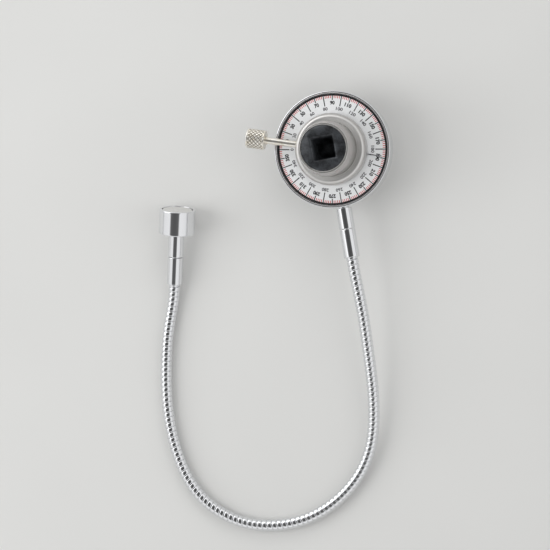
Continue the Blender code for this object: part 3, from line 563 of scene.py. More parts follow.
def skin(name, grid, finish, ring=False, smooth=True):
    """A closed mesh over a grid of rings: quads between rings, and a fan to the middle of both end rings.

    A ring skin joins its last ring to its first instead.
    """
    rows, columns = grid.shape[:2]
    points = grid.reshape(-1, 3)
    index = np.arange(rows * columns).reshape(rows, columns)
    nearer = index if ring else index[:-1]
    further = np.roll(index, -1, axis=0) if ring else index[1:]
    quads = np.stack((nearer, np.roll(nearer, -1, axis=1), np.roll(further, -1, axis=1), further), axis=2)
    faces = quads.reshape(-1, 4).tolist()
    if not ring:
        points = np.concatenate((points, [grid[0].mean(axis=0), grid[-1].mean(axis=0)]))
        low, high = rows * columns, rows * columns + 1
        first, last = index[0], index[-1]
        faces += np.stack((np.roll(first, -1), first, np.full(columns, low)), axis=1).tolist()
        faces += np.stack((last, np.roll(last, -1), np.full(columns, high)), axis=1).tolist()
    mesh = bpy.data.meshes.new(name)
    mesh.from_pydata(points.tolist(), [], faces)
    return finished(name, mesh, finish, smooth)


def finished(name, mesh, finish, smooth=True):
    """Merges doubles, points the faces outwards, shades the mesh smooth and makes its object.

    The signed volume tells which way the faces point, and they are turned if it is negative.
    """
    bm = bmesh.new()
    bm.from_mesh(mesh)
    bmesh.ops.remove_doubles(bm, verts=bm.verts, dist=MERGE)
    bmesh.ops.recalc_face_normals(bm, faces=bm.faces)
    if bm.calc_volume(signed=True) < 0.0:
        bmesh.ops.reverse_faces(bm, faces=bm.faces)
    bm.to_mesh(mesh)
    bm.free()
    if smooth:
        mesh.shade_smooth()
        mesh.set_sharp_from_angle(angle=SHARP)
    piece = bpy.data.objects.new(name, mesh)
    piece.data.materials.append(finish)
    bpy.context.scene.collection.objects.link(piece)
    return piece


def cut(piece, *cutters):
    """Cuts shapes out of a piece, and shades what is left as before."""
    for cutter in cutters:
        modifier = piece.modifiers.new("cut", "BOOLEAN")
        modifier.object = cutter
        modifier.operation = "DIFFERENCE"
        modifier.solver = "EXACT"
    view = bpy.context.evaluated_depsgraph_get()
    mesh = bpy.data.meshes.new_from_object(piece.evaluated_get(view))
    piece.modifiers.clear()
    old = piece.data
    piece.data = mesh
    bpy.data.meshes.remove(old)
    for cutter in cutters:
        bpy.data.objects.remove(cutter)
    mesh.set_sharp_from_angle(angle=SHARP)
    return piece


def stands_for(piece, body, slot, *nodes):
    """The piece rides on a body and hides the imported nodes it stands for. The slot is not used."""
    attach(piece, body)
    if nodes:
        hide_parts(*nodes)
    return piece


def fine_copy(node, body, slot, finish):
    """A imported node's own shape with its loose triangles merged, so that round walls shade smooth."""
    mesh = frame["nodes"][node].data.copy()
    mesh.materials.clear()
    piece = finished(f"{node}_fine", mesh, finish)
    mesh.set_sharp_from_angle(angle=FACET_SHARP)
    return stands_for(piece, body, slot, node)


def make_housing(chrome):
    """The chromed cup: a crowned rim that stands over the dial, a straight wall and a relief underneath."""
    inner = HOUSING_RADIUS - RIM_WALL
    profile = rounded(
        [
            (HOUSING_BORE, HOUSING_BORE_SEAM, 0.0),
            (HOUSING_BORE, HOUSING_BOTTOM, SOFT),
            (RELIEF_INNER, HOUSING_BOTTOM, RELIEF_EDGE),
            (RELIEF_INNER, HOUSING_BOTTOM + RELIEF_DEPTH, SOFT),
            (RELIEF_OUTER, HOUSING_BOTTOM + RELIEF_DEPTH, SOFT),
            (RELIEF_OUTER, HOUSING_BOTTOM, RELIEF_EDGE),
            (HOUSING_RADIUS, HOUSING_BOTTOM, HOUSING_EDGE),
            (HOUSING_RADIUS, RIM_TOP, RIM_CROWN),
            (inner, RIM_TOP, RIM_CROWN),
            (inner, HOUSING_FLOOR, 0.0),
            (HOUSING_BORE, HOUSING_FLOOR, SOFT),
            (HOUSING_BORE, HOUSING_BORE_SEAM, 0.0),
        ]
    )
    housing = skin("dial_housing_chromed", turned(profile[:-1], FINE), chrome, ring=True)
    stands_for(housing, "head", "chrome", "dial_housing")


def make_dial(silver):
    """The silver dial plate with lightly broken edges."""
    middle = (DIAL_BOTTOM + DIAL_TOP) / 2.0
    profile = rounded(
        [
            (DIAL_BORE, middle, 0.0),
            (DIAL_BORE, DIAL_BOTTOM, DIAL_EDGE),
            (DIAL_RADIUS, DIAL_BOTTOM, DIAL_EDGE),
            (DIAL_RADIUS, DIAL_TOP, DIAL_EDGE),
            (DIAL_BORE, DIAL_TOP, DIAL_EDGE),
            (DIAL_BORE, middle, 0.0),
        ],
        steps=3,
    )
    plate = skin("dial_plate_silver", turned(profile[:-1], FINE), silver, ring=True)
    stands_for(plate, "head", "silver_dial", "dial_plate")


def dial_azimuth(degrees):
    """Where a number of degrees lies on the dial, whose scale runs clockwise."""
    return ZERO_AZIMUTH - np.radians(degrees)


def make_ticks(name, degrees, inner, width, ink):
    """Thin bars of ink, one for each mark: a radial block from its inner end to the scale's outer edge."""
    angle = dial_azimuth(np.asarray(degrees, float))[:, None]
    reach = np.array([inner, TICK_OUTER, TICK_OUTER, inner] * 2)
    aside = np.array([-0.5, -0.5, 0.5, 0.5] * 2) * width
    height = np.repeat([DIAL_TOP - INK, DIAL_TOP + INK], 4)
    x = reach * np.cos(angle) - aside * np.sin(angle)
    y = reach * np.sin(angle) + aside * np.cos(angle)
    points = np.stack((x, y, height + np.zeros_like(x)), axis=2).reshape(-1, 3)
    block = np.array([(3, 2, 1, 0), (4, 5, 6, 7), (0, 1, 5, 4), (1, 2, 6, 5), (2, 3, 7, 6), (3, 0, 4, 7)])
    faces = (block[None] + 8 * np.arange(len(angle))[:, None, None]).reshape(-1, 4)
    mesh = bpy.data.meshes.new(name)
    mesh.from_pydata(points.tolist(), [], faces.tolist())
    stands_for(finished(name, mesh, ink, smooth=False), "head", "silver_dial")


def make_border(ink):
    """The black line round the scale, a flat band of ink just inside the rim: partly a printed line, partly
    painted shade of the rim's dark inner wall.
    """
    profile = np.array(
        [
            (BORDER_INNER, DIAL_TOP - INK),
            (DIAL_RADIUS - DIAL_EDGE, DIAL_TOP - INK),
            (DIAL_RADIUS - DIAL_EDGE, DIAL_TOP + INK),
            (BORDER_INNER, DIAL_TOP + INK),
        ]
    )
    band = skin("dial_border", turned(profile, FINE), ink, ring=True)
    stands_for(band, "head", "silver_dial")


def number_mesh(text, height, width, weight):
    """A number as a thin mesh about the origin, brought to a height and a width for each digit."""
    letters = bpy.data.curves.new("number", "FONT")
    letters.body = text
    letters.size = 1.0
    letters.offset = weight
    letters.extrude = 1.0
    letters.resolution_u = 3
    writing = bpy.data.objects.new("number", letters)
    bpy.context.scene.collection.objects.link(writing)
    mesh = bpy.data.meshes.new_from_object(writing.evaluated_get(bpy.context.evaluated_depsgraph_get()))
    bpy.data.objects.remove(writing)
    points = coordinates(mesh.vertices)
    low, high = points.min(axis=0), points.max(axis=0)
    size = np.array([width * len(text), height, 2.0 * INK])
    points = (points - (low + high) / 2.0) / (high - low) * size
    faces = [list(polygon.vertices) for polygon in mesh.polygons]
    bpy.data.meshes.remove(mesh)
    return points, faces


def make_numbers(name, values, radius, height, width, weight, ink):
    """A ring of numbers on the dial, each turned so that its top points outwards."""
    all_points, all_faces, count = [], [], 0
    for value in values:
        points, faces = number_mesh(str(value), height, width, weight)
        azimuth = float(dial_azimuth(value))
        turn = Matrix.Rotation(azimuth - TURN / 4.0, 4, "Z")
        turn.translation = Vector((radius * math.cos(azimuth), radius * math.sin(azimuth), DIAL_TOP))
        all_points.append(placed(points, turn))
        all_faces += [[corner + count for corner in face] for face in faces]
        count += len(points)
    mesh = bpy.data.meshes.new(name)
    mesh.from_pydata(np.concatenate(all_points).tolist(), [], all_faces)
    stands_for(finished(name, mesh, ink, smooth=False), "head", "silver_dial")


def make_scale(black, grey, red):
    """The printed scale: red marks every two degrees, black ones at the tens, and two rings of numbers."""
    marks = [value for value in range(0, 360, 2) if value % 10]
    make_ticks("red_marks", marks, RED_TICK_INNER, RED_TICK_WIDTH, red)
    make_ticks("short_black_marks", range(10, 360, 20), SHORT_TICK_INNER, BLACK_TICK_WIDTH, black)
    make_ticks("long_black_marks", range(0, 360, 20), LONG_TICK_INNER, BLACK_TICK_WIDTH, black)
    make_border(black)
    make_numbers("outer_numbers", range(10, 360, 20), *OUTER_NUMBERS, black)
    make_numbers("inner_numbers", range(0, 360, 20), *INNER_NUMBERS, grey)


def make_collar(steel):
    """The turned collar: elliptical shoulder, flat step, groove, and a boss that ends in a cone.

    The thumbscrew's hole and the pointer's slot are cut out of it.
    """
    angles = np.linspace(0.0, TURN / 4.0, SHOULDER_STEPS)
    shoulder = np.stack(
        (
            COLLAR_FLAT + (COLLAR_RADIUS - COLLAR_FLAT) * np.cos(angles),
            COLLAR_TOP - COLLAR_SHOULDER * (1.0 - np.sin(angles)),
        ),
        axis=1,
    )
    inside = rounded(
        [
            (*shoulder[-1], 0.0),
            (BOSS_RADIUS + FOOT_GROOVE_WIDTH, COLLAR_TOP, FOOT_GROOVE_EDGE),
            (BOSS_RADIUS + FOOT_GROOVE_WIDTH, COLLAR_TOP - FOOT_GROOVE_DEPTH, FOOT_GROOVE_EDGE),
            (BOSS_RADIUS, COLLAR_TOP - FOOT_GROOVE_DEPTH, FOOT_GROOVE_EDGE),
            (BOSS_RADIUS, BOSS_TOP - BOSS_CONE, BOSS_CONE_ROUND),
            (COLLAR_BORE + BOSS_EDGE, BOSS_TOP, EASED),
            (COLLAR_BORE, BOSS_TOP - BOSS_EDGE, EASED),
            (COLLAR_BORE, COLLAR_ROOM_TOP, KEEN),
            (COLLAR_ROOM, COLLAR_ROOM_TOP, KEEN),
            (COLLAR_ROOM, COLLAR_BOTTOM, BROKEN),
            (COLLAR_RADIUS, COLLAR_BOTTOM, SOFT),
            (*shoulder[0], 0.0),
        ]
    )
    profile = np.concatenate((shoulder, inside[1:-1]))
    collar = skin("pointer_collar_turned", turned(profile, FINE), steel, ring=True)
    out = level(SCREW_AZIMUTH)
    bore = np.array([(ROD_RADIUS + FIT, 0.0), (ROD_RADIUS + FIT, SCREW_HOLE_LENGTH)])
    start = out * SLEEVE_BORE + Vector((0.0, 0.0, SCREW_HEIGHT))
    hole = skin("hole", placed(turned(bore, SMALL), along(start, out)), steel)
    half = NEEDLE_SLOT_HALF
    across = np.array([(-half, -half), (half, -half), (half, half), (-half, half)])
    ends = [np.c_[np.full(4, reach), across] for reach in (NEEDLE_SLOT_START, NEEDLE_SLOT_END)]
    slot_turn = Matrix.Rotation(POINTER_AZIMUTH, 4, "Z")
    slot_turn.translation = Vector((0.0, 0.0, NEEDLE_HIGH[2] + FIT - half))
    slot = skin("slot", placed(np.array(ends), slot_turn), steel)
    cut(collar, hole, slot)
    stands_for(collar, "pointer", "satin_steel", "pointer_collar")


def make_needle(chrome):
    """The pointer: a blade that narrows in a straight line from the collar to its tip.

    Its section is a superellipse: each coordinate is the sign of a sine or cosine times its size to a power,
    which is squarer than an ellipse for a power below 1.
    """
    reach = np.linspace(NEEDLE_START, NEEDLE_TIP, NEEDLE_STEPS)
    width = np.interp(reach, (NEEDLE_ROOT, NEEDLE_TIP), (NEEDLE_ROOT_WIDTH, NEEDLE_TIP_WIDTH))
    angles = TURN * np.arange(NEEDLE_AROUND) / NEEDLE_AROUND
    height = NEEDLE_HIGH[2] - NEEDLE_LOW[2]
    up = np.sign(np.sin(angles)) * np.abs(np.sin(angles)) ** NEEDLE_SQUARENESS
    aside = np.sign(np.cos(angles)) * np.abs(np.cos(angles)) ** NEEDLE_SQUARENESS
    y = width[:, None] / 2.0 * aside
    z = (NEEDLE_HIGH[2] + NEEDLE_LOW[2]) / 2.0 + height / 2.0 * up + np.zeros_like(y)
    grid = np.stack((reach[:, None] + np.zeros_like(y), y, z), axis=2)
    needle = skin("pointer_blade", placed(grid, Matrix.Rotation(POINTER_AZIMUTH, 4, "Z")), chrome)
    stands_for(needle, "pointer", "magnet_nickel", "pointer_needle")


def make_sleeve(steel):
    """The sleeve: a thin bright lip round the drive, and below it a straight wall inside the collar."""
    profile = rounded(
        [
            (SLEEVE_BORE, SLEEVE_BORE_SEAM, 0.0),
            (SLEEVE_BORE, SLEEVE_BOTTOM, EASED),
            (SLEEVE_RADIUS, SLEEVE_BOTTOM, SLEEVE_EDGE),
            (SLEEVE_RADIUS, SLEEVE_GROOVE_LOW, CRISP),
            (SLEEVE_GROOVE, SLEEVE_GROOVE_LOW, CRISP),
            (SLEEVE_GROOVE, SLEEVE_GROOVE_HIGH, CRISP),
            (SLEEVE_RADIUS, SLEEVE_GROOVE_HIGH, CRISP),
            (SLEEVE_RADIUS, HUB_TOP, SOFT),
            (SLEEVE_COUNTERBORE, HUB_TOP, SLEEVE_LIP_EDGE),
            (SLEEVE_COUNTERBORE, SLEEVE_STEP, KEEN),
            (SLEEVE_BORE, SLEEVE_STEP, KEEN),
            (SLEEVE_BORE, SLEEVE_BORE_SEAM, 0.0),
        ],
        steps=4,
    )
    sleeve = skin("hub_sleeve_turned", turned(profile[:-1], FINE), steel, ring=True)
    stands_for(sleeve, "hub", "satin_steel", "hub_sleeve")


def make_thumbscrew(nickel):
    """The clamping screw: a plain rod with a blunt point, and a knob with a raised diamond knurl.

    The knurl is cut where the higher of two triangle waves comes near its crest. Their phases are the turns
    round the knob plus and minus the distance along it, so they cross as two sets of helical grooves.
    """
    lie = along(Vector((0.0, 0.0, SCREW_HEIGHT)), level(SCREW_AZIMUTH))
    rod = rounded(
        [
            (0.0, ROD_TIP, 0.0),
            (ROD_RADIUS - ROD_POINT, ROD_TIP, EASED),
            (ROD_RADIUS, ROD_TIP + ROD_POINT, EASED),
            (ROD_RADIUS, ROD_END, EASED),
            (0.0, ROD_END, 0.0),
        ]
    )
    piece = skin("thumbscrew_rod_plated", placed(turned(rod[1:-1], SMALL), lie), nickel)
    stands_for(piece, "screw_rod", "warm_nickel", "thumbscrew_rod")

    bore = ROD_RADIUS + FIT
    face = rounded(
        [
            (0.0, ROD_END + FIT, 0.0),
            (bore, ROD_END + FIT, 0.0),
            (bore, KNOB_START, EASED),
            (KNOB_RADIUS, KNOB_START, KNOB_ROUND),
            (KNOB_RADIUS, KNOB_START + KNOB_EDGE, 0.0),
        ]
    )
    back = rounded(
        [
            (KNOB_RADIUS, KNOB_END - KNOB_EDGE, 0.0),
            (KNOB_RADIUS, KNOB_END, KNOB_ROUND),
            (KNOB_DIMPLE_RADIUS, KNOB_END, SOFT),
            (0.0, KNOB_END - KNOB_DIMPLE_DEPTH, 0.0),
        ]
    )
    knurl_along = np.linspace(KNOB_START + KNOB_EDGE, KNOB_END - KNOB_EDGE, KNURL_ROWS)[:, None]
    turns = np.arange(KNURL_SIDES) / KNURL_SIDES
    waves = []
    for sign in (1.0, -1.0):
        phase = KNURL_AROUND * turns + sign * knurl_along / KNURL_PITCH
        waves.append(np.abs(phase % 1.0 * 2.0 - 1.0))
    groove = 1.0 - np.minimum(1.0, KNURL_FLAT * (1.0 - np.maximum(waves[0], waves[1])))
    fade = np.clip((knurl_along - KNOB_START - KNOB_EDGE) / KNURL_FADE, 0.0, 1.0)
    fade = fade * np.clip((KNOB_END - KNOB_EDGE - knurl_along) / KNURL_FADE, 0.0, 1.0)
    radius = KNOB_RADIUS - KNURL_DEPTH * groove * fade
    angles = TURN * turns
    knurl = np.stack((radius * np.cos(angles), radius * np.sin(angles), knurl_along + 0.0 * radius), axis=2)
    grid = np.concatenate((turned(face[1:-1], KNURL_SIDES), knurl, turned(back[1:-1], KNURL_SIDES)))
    piece = skin("thumbscrew_knob_knurled", placed(grid, lie), nickel)
    mark_knurl(piece, lie)
    stands_for(piece, "screw_knob", "warm_nickel", "thumbscrew_knob")


def mark_knurl(piece, lie):
    """Keeps how deep each point of the knob lies in the knurl: (the knob's radius - its own) / the depth.

    Points beyond the knurl's ends count as bare, and so do those of the bore, deeper than any groove.
    """
    local = placed(coordinates(piece.data.vertices), lie.inverted())
    depth = (KNOB_RADIUS - np.hypot(local[:, 0], local[:, 1])) / KNURL_DEPTH
    between = (local[:, 2] > KNOB_START + KNOB_EDGE) & (local[:, 2] < KNOB_END - KNOB_EDGE)
    walls = between & (depth < DEEPEST_WALL)
    store = piece.data.attributes.new(KNURL_ATTRIBUTE, "FLOAT", "POINT")
    store.data.foreach_set("value", np.where(walls, np.clip(depth, 0.0, 1.0), 0.0).astype(np.float32))


def make_ball(nickel):
    """The detent ball, a sphere by latitude and longitude."""
    low, high = (Vector(corner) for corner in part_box("detent_ball"))
    centre, radius = (low + high) / 2.0, (high.z - low.z) / 2.0
    tilt = np.linspace(0.0, TURN / 2.0, BALL_ROWS)[1:-1]
    profile = np.stack((radius * np.sin(tilt), -radius * np.cos(tilt)), axis=1)
    ball = skin("detent_ball_bright", placed(turned(profile, BALL_SIDES), Matrix.Translation(centre)), nickel)
    stands_for(ball, "ball", "magnet_nickel", "detent_ball")


def make_detent_spring(strip):
    """The detent's coil spring: a smooth copy of the imported one with a mesh of its own. How far each point
    reaches along the ball's stroke is worked out, but nothing uses it.
    """
    spring = fine_copy("detent_spring", "hub", "spring_steel", strip)
    press = next(joint for joint in frame["joints"] if joint["name"] == "detent_press")
    ahead = Vector(press["axis"]).normalized()
    reach = coordinates(spring.data.vertices) @ np.array(ahead)
    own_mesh(spring)


def stud_profile(start, length, thread_length):
    """A stud: threaded end, flat shoulder with a broken edge, straight wall, second shoulder and spigot."""
    end = start + length
    return rounded(
        [
            (0.0, start - thread_length, 0.0),
            (STUD_THREAD_RADIUS, start - thread_length, SOFT),
            (STUD_THREAD_RADIUS, start, 0.0),
            (STUD_RADIUS, start, STUD_EDGE),
            (STUD_RADIUS, end, STUD_EDGE),
            (SPIGOT_RADIUS, end, 0.0),
            (SPIGOT_RADIUS, end + SPIGOT_LENGTH, SOFT),
            (0.0, end + SPIGOT_LENGTH, 0.0),
        ]
    )[1:-1]


def ferrule_profile(start):
    """A ferrule: bore for the stud's spigot, straight wall, and a socket in which the flexible arm ends."""
    end = start + FERRULE_LENGTH
    bore = SPIGOT_RADIUS + FIT
    return rounded(
        [
            (0.0, start + SPIGOT_LENGTH, 0.0),
            (bore, start + SPIGOT_LENGTH, 0.0),
            (bore, start, KEEN),
            (STUD_RADIUS, start, STUD_EDGE),
            (STUD_RADIUS, end, FERRULE_MOUTH_ROUND),
            (FERRULE_SOCKET_RADIUS, end, BROKEN),
            (FERRULE_SOCKET_RADIUS, end - FERRULE_SOCKET_DEPTH, 0.0),
            (0.0, end - FERRULE_SOCKET_DEPTH, 0.0),
        ]
    )[1:-1]


def make_stud_and_ferrule(end, body, lie, start, length, thread_length, chrome):
    """A stud that starts at a flat face, and the ferrule that follows it on the same axis."""
    profiles = {
        "stud": stud_profile(start, length, thread_length),
        "ferrule": ferrule_profile(start + length + FIT),
    }
    for kind, profile in profiles.items():
        piece = skin(f"{end}_{kind}_chromed", placed(turned(profile, MEDIUM), lie), chrome)
        stands_for(piece, body, "chrome", f"{end}_{kind}")


def make_arm_root(chrome):
    """The stud in the housing's wall and the ferrule that follows it, both level with the arm's axis."""
    lie = along(Vector((0.0, 0.0, ARM_HEIGHT)), level(ARM_AZIMUTH))
    make_stud_and_ferrule(
        "arm", "head", lie, HEAD_STUD_START, HEAD_STUD_LENGTH, HEAD_THREAD_LENGTH, chrome
    )


def magnet_ahead():
    """The direction in which the magnet's pole face looks."""
    flat = math.cos(MAGNET_RISE)
    x, y = math.cos(MAGNET_AZIMUTH) * flat, math.sin(MAGNET_AZIMUTH) * flat
    return Vector((x, y, math.sin(MAGNET_RISE)))


def make_magnet(chrome, nickel):
    """The far end of the arm: ferrule, stud, and the pot magnet with its disc set in a chromed cup."""
    ahead = magnet_ahead()
    cup_start = FERRULE_LENGTH + FIT + MAGNET_STUD_LENGTH + FIT
    back = along(MAGNET_MOUTH + ahead * cup_start, -ahead)
    make_stud_and_ferrule("magnet", "magnet", back, FIT, MAGNET_STUD_LENGTH, MAGNET_THREAD_LENGTH, chrome)

    front = along(MAGNET_MOUTH + ahead * cup_start, ahead)
    profile = rounded(
        [
            (MAGNET_HOLE, MAGNET_HOLE_SEAM, 0.0),
            (MAGNET_HOLE, 0.0, BROKEN),
            (MAGNET_RADIUS, 0.0, MAGNET_EDGE),
            (MAGNET_RADIUS, MAGNET_LENGTH, MAGNET_EDGE),
            (MAGNET_BORE, MAGNET_LENGTH, BROKEN),
            (MAGNET_BORE, MAGNET_FLOOR, EASED),
            (MAGNET_HOLE, MAGNET_FLOOR, BROKEN),
            (MAGNET_HOLE, MAGNET_HOLE_SEAM, 0.0),
        ]
    )
    cup = skin("magnet_cup_chromed", placed(turned(profile[:-1], FINE), front), chrome, ring=True)
    stands_for(cup, "magnet", "chrome", "magnet_cup")
    disc_radius = MAGNET_BORE - FIT
    profile = rounded(
        [
            (0.0, MAGNET_FLOOR + FIT, 0.0),
            (disc_radius, MAGNET_FLOOR + FIT, EASED),
            (disc_radius, MAGNET_LENGTH - FIT, SOFT),
            (0.0, MAGNET_LENGTH - FIT, 0.0),
        ]
    )
    disc = skin("magnet_disc_plated", placed(turned(profile[1:-1], FINE), front), nickel)
    stands_for(disc, "magnet", "magnet_nickel", "magnet_disc")


def neck_line():
    """The arm's centre line: a natural cubic spline through the route, by chord length, as many close points.

    The spline's second coefficients c solve h0 c0 + 2 (h0 + h1) c1 + h1 c2 = 3 (slope change) at each knot.
    """
    out = level(ARM_AZIMUTH)
    end = HEAD_STUD_START + HEAD_STUD_LENGTH + FIT + FERRULE_LENGTH
    mouth = Vector((0.0, 0.0, ARM_HEIGHT)) + out * end
    ahead = magnet_ahead()
    route = np.array(
        [
            mouth - out * (FERRULE_SOCKET_DEPTH - FIT),
            mouth,
            mouth + out * NECK_STRAIGHT,
            *[Vector(point) * MM for point in NECK_ROUTE],
            MAGNET_MOUTH - ahead * NECK_STRAIGHT,
            MAGNET_MOUTH,
            MAGNET_MOUTH + ahead * (FERRULE_SOCKET_DEPTH - FIT),
        ]
    )
    span = np.linalg.norm(np.diff(route, axis=0), axis=1)
    knots = np.concatenate(([0.0], np.cumsum(span)))
    slopes = np.diff(route, axis=0) / span[:, None]
    count = len(knots)
    system = np.eye(count)
    inner = np.arange(1, count - 1)
    system[inner, inner - 1] = span[:-1]
    system[inner, inner] = 2.0 * (span[:-1] + span[1:])
    system[inner, inner + 1] = span[1:]
    change = np.zeros((count, 3))
    change[1:-1] = 3.0 * np.diff(slopes, axis=0)
    second = np.linalg.solve(system, change)
    at = np.linspace(0.0, knots[-1], NECK_SAMPLES)
    k = np.clip(np.searchsorted(knots, at, side="right") - 1, 0, count - 2)
    t, h = (at - knots[k])[:, None], span[k][:, None]
    first = slopes[k] - h * (2.0 * second[k] + second[k + 1]) / 3.0
    third = (second[k + 1] - second[k]) / (3.0 * h)
    line = route[k] + first * t + second[k] * t**2 + third * t**3
    length = np.concatenate(([0.0], np.cumsum(np.linalg.norm(np.diff(line, axis=0), axis=1))))
    return line, length


def make_gooseneck(chrome):
    """The flexible arm as a wound strip: a tube whose radius depends on a phase that winds round it.

    The phase is distance / pitch - angle / full turn. Across each winding the radius is the valley's plus a
    rise of 1 - |2 phase - 1| ** 5, which makes a broad crown between narrow grooves, less the bell curve of a
    shallow seam, where the strip hooks into its neighbour. Each piece runs from the middle of one packed
    length to the middle of the next, across the joint between them.
    """
    line, length = neck_line()
    tangent = np.gradient(line, axis=0)
    windings = round(length[-1] / NECK_PITCH)
    pitch = length[-1] / windings
    cuts = [round(windings * k / NECK_LENGTHS) for k in range(NECK_LENGTHS + 1)]
    middles = [(cuts[k] + cuts[k + 1]) / 2.0 for k in range(NECK_LENGTHS)]
    edges = [0.0, *middles[1:-1], float(windings)]
    angles = TURN * np.arange(NECK_AROUND) / NECK_AROUND

    def frames(at):
        place = np.stack([np.interp(at, length, line[:, k]) for k in range(3)], axis=1)
        ahead = np.stack([np.interp(at, length, tangent[:, k]) for k in range(3)], axis=1)
        ahead /= np.linalg.norm(ahead, axis=1)[:, None]
        up = np.array([0.0, 0.0, 1.0]) - ahead * ahead[:, 2:3]
        up /= np.linalg.norm(up, axis=1)[:, None]
        return place, ahead, up, np.cross(ahead, up)

    for joint in range(1, NECK_LENGTHS):
        steps = round((edges[joint] - edges[joint - 1]) * NECK_STEPS)
        at = np.linspace(edges[joint - 1], edges[joint], steps + 1) * pitch
        place, _, up, side = frames(at)
        phase = (at[:, None] / pitch - angles / TURN) % 1.0
        rise = 1.0 - np.abs(2.0 * phase - 1.0) ** NECK_CROWN_POWER
        radius = NECK_VALLEY + (NECK_RADIUS - NECK_VALLEY) * rise
        radius = radius - NECK_SEAM * np.exp(-(((phase - NECK_SEAM_PLACE) / NECK_SEAM_WIDTH) ** 2))
        outward = up[:, None] * np.cos(angles)[None, :, None] + side[:, None] * np.sin(angles)[None, :, None]
        grid = place[:, None] + outward * radius[:, :, None]
        piece = skin(f"gooseneck_bend_{joint}", grid, chrome)
        knot, ahead, _, _ = frames(np.array([cuts[joint] * pitch]))
        knot, ahead = Vector(knot[0]), Vector(ahead[0])
        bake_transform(piece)
        nodes = ["gooseneck_0", "gooseneck_1"] if joint == 1 else [f"gooseneck_{joint}"]
        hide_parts(*nodes)


def make_floor():
    """The pale floor under the gauge, larger than any view of it."""
    finish, tree, shader = new_finish("pale_floor", "DCDCDA", 0.0, 0.6)
    tinted(tree, shader, noise(tree, size=FLOOR_CLOUD), [(0.3, "DADAD8"), (0.7, "DEDEDC")])
    corners = [(x * FLOOR_HALF, y * FLOOR_HALF, 0.0) for x, y in ((-1, -1), (1, -1), (1, 1), (-1, 1))]
    mesh = bpy.data.meshes.new("floor")
    mesh.from_pydata(corners, [], [(0, 1, 2, 3)])
    mesh.materials.append(finish)
    floor = bpy.data.objects.new("floor", mesh)
    bpy.context.scene.collection.objects.link(floor)


def make_world():
    """A plain studio: pale to the camera, bright walls and a dark ceiling to metal, even to matt things.

    The ceiling is where the direction, shortened along Y and made a unit again, comes near its middle. Metal
    also sees one soft window, high on the left: its light grows with the cosine to the window's middle.
    """
    world = bpy.data.worlds.new("studio")
    world.use_nodes = True
    bpy.context.scene.world = world
    tree = world.node_tree
    tree.nodes.clear()
    place = add_node(tree, "ShaderNodeTexCoord")
    longer = add_node(
        tree,
        "ShaderNodeVectorMath",
        {"operation": "MULTIPLY"},
        {1: CEILING_SHAPE},
        {0: place.outputs["Generated"]},
    )
    towards = add_node(tree, "ShaderNodeVectorMath", {"operation": "NORMALIZE"}, links={0: longer.outputs[0]})
    height = add_node(
        tree,
        "ShaderNodeVectorMath",
        {"operation": "DOT_PRODUCT"},
        {1: CEILING_DIRECTION},
        {0: towards.outputs[0]},
    )
    walls = colour_ramp(tree, height.outputs["Value"], WALLS)
    facing = add_node(
        tree,
        "ShaderNodeVectorMath",
        {"operation": "DOT_PRODUCT"},
        {1: WINDOW_DIRECTION},
        {0: place.outputs["Generated"]},
    )
    window = add_node(
        tree,
        "ShaderNodeMapRange",
        {"interpolation_type": "SMOOTHSTEP"},
        {"From Min": WINDOW_FROM, "From Max": WINDOW_TO, "To Min": 1.0, "To Max": WINDOW_LIGHT},
        {"Value": facing.outputs["Value"]},
    )
    mirrored = add_node(
        tree,
        "ShaderNodeBackground",
        links={"Color": walls, "Strength": window.outputs["Result"]},
    )
    soft = add_node(tree, "ShaderNodeBackground", values={"Color": linear("FFFFFF"), "Strength": SOFT_LIGHT})
    seen = add_node(tree, "ShaderNodeBackground", values={"Color": linear("E6E6E4"), "Strength": 1.0})
    ray = add_node(tree, "ShaderNodeLightPath")
    metal = add_node(
        tree,
        "ShaderNodeMixShader",
        links={"Fac": ray.outputs["Is Glossy Ray"], 1: soft.outputs[0], 2: mirrored.outputs[0]},
    )
    camera = add_node(
        tree,
        "ShaderNodeMixShader",
        links={"Fac": ray.outputs["Is Camera Ray"], 1: metal.outputs[0], 2: seen.outputs[0]},
    )
    add_node(tree, "ShaderNodeOutputWorld", links={"Surface": camera.outputs[0]})


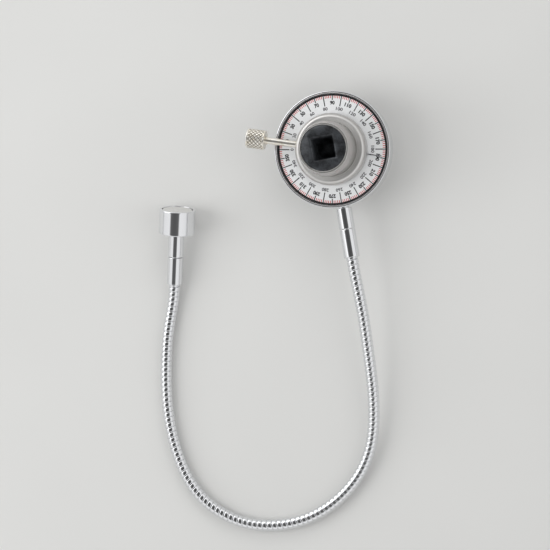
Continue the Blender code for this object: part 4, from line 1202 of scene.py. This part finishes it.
def make_lamp(name, place, size, power):
    """A soft box turned to the gauge. Metal doesn't mirror it, but the world's bright walls instead."""
    lamp = bpy.data.lights.new(name, "AREA")
    lamp.shape = "RECTANGLE"
    lamp.size, lamp.size_y = size
    lamp.energy = power
    holder = bpy.data.objects.new(name, lamp)
    holder.location = place
    holder.rotation_euler = (Vector(LAMP_TARGET) - Vector(place)).to_track_quat("-Z", "Y").to_euler()
    holder.visible_glossy = False
    bpy.context.scene.collection.objects.link(holder)


def make_camera():
    """The photograph's camera, high above the gauge and a little to the right of the head."""
    camera = bpy.data.cameras.new("camera")
    camera.sensor_width = CAMERA_SENSOR
    camera.lens = CAMERA_LENS
    camera.clip_start = CAMERA_NEAR
    holder = bpy.data.objects.new("camera", camera)
    back = (CAMERA_EYE - CAMERA_AIM).normalized()
    right = Vector((0.0, 1.0, 0.0)).cross(back).normalized()
    matrix = Matrix((right, back.cross(right), back)).transposed().to_4x4()
    matrix.translation = CAMERA_EYE
    holder.matrix_world = matrix
    bpy.context.scene.collection.objects.link(holder)
    bpy.context.scene.camera = holder


chrome = polished_chrome()
steel = satin_turned_steel()
nickel = warm_nickel()
plated = bright_nickel()
phosphate = black_phosphate()
silver = silver_face()
black_ink = scale_ink("black_ink", "1A1A1C", "3A3A3C")
grey_ink = scale_ink("grey_ink", "4E4E51", "747477")
red_ink = scale_ink("red_ink", "C8231A", "D65A50")
strip = spring_steel()
bronze = bearing_bronze()

make_housing(chrome)
make_dial(silver)
make_scale(black_ink, grey_ink, red_ink)
make_collar(steel)
make_needle(chrome)
make_sleeve(steel)
make_thumbscrew(nickel)
make_ball(plated)
make_arm_root(chrome)
make_magnet(chrome, plated)
make_gooseneck(chrome)
fine_copy("drive_body", "hub", "black_drive", phosphate)
for ring in ("thrust_washer", "retaining_ring", "sleeve_snap_ring"):
    fine_copy(ring, "hub", "spring_steel", strip)
make_detent_spring(strip)
fine_copy("housing_bush", "head", "bearing_bronze", bronze)

make_floor()
make_world()
for lamp in LAMPS:
    make_lamp(*lamp)
make_camera()
bpy.context.scene.view_settings.view_transform = "Standard"
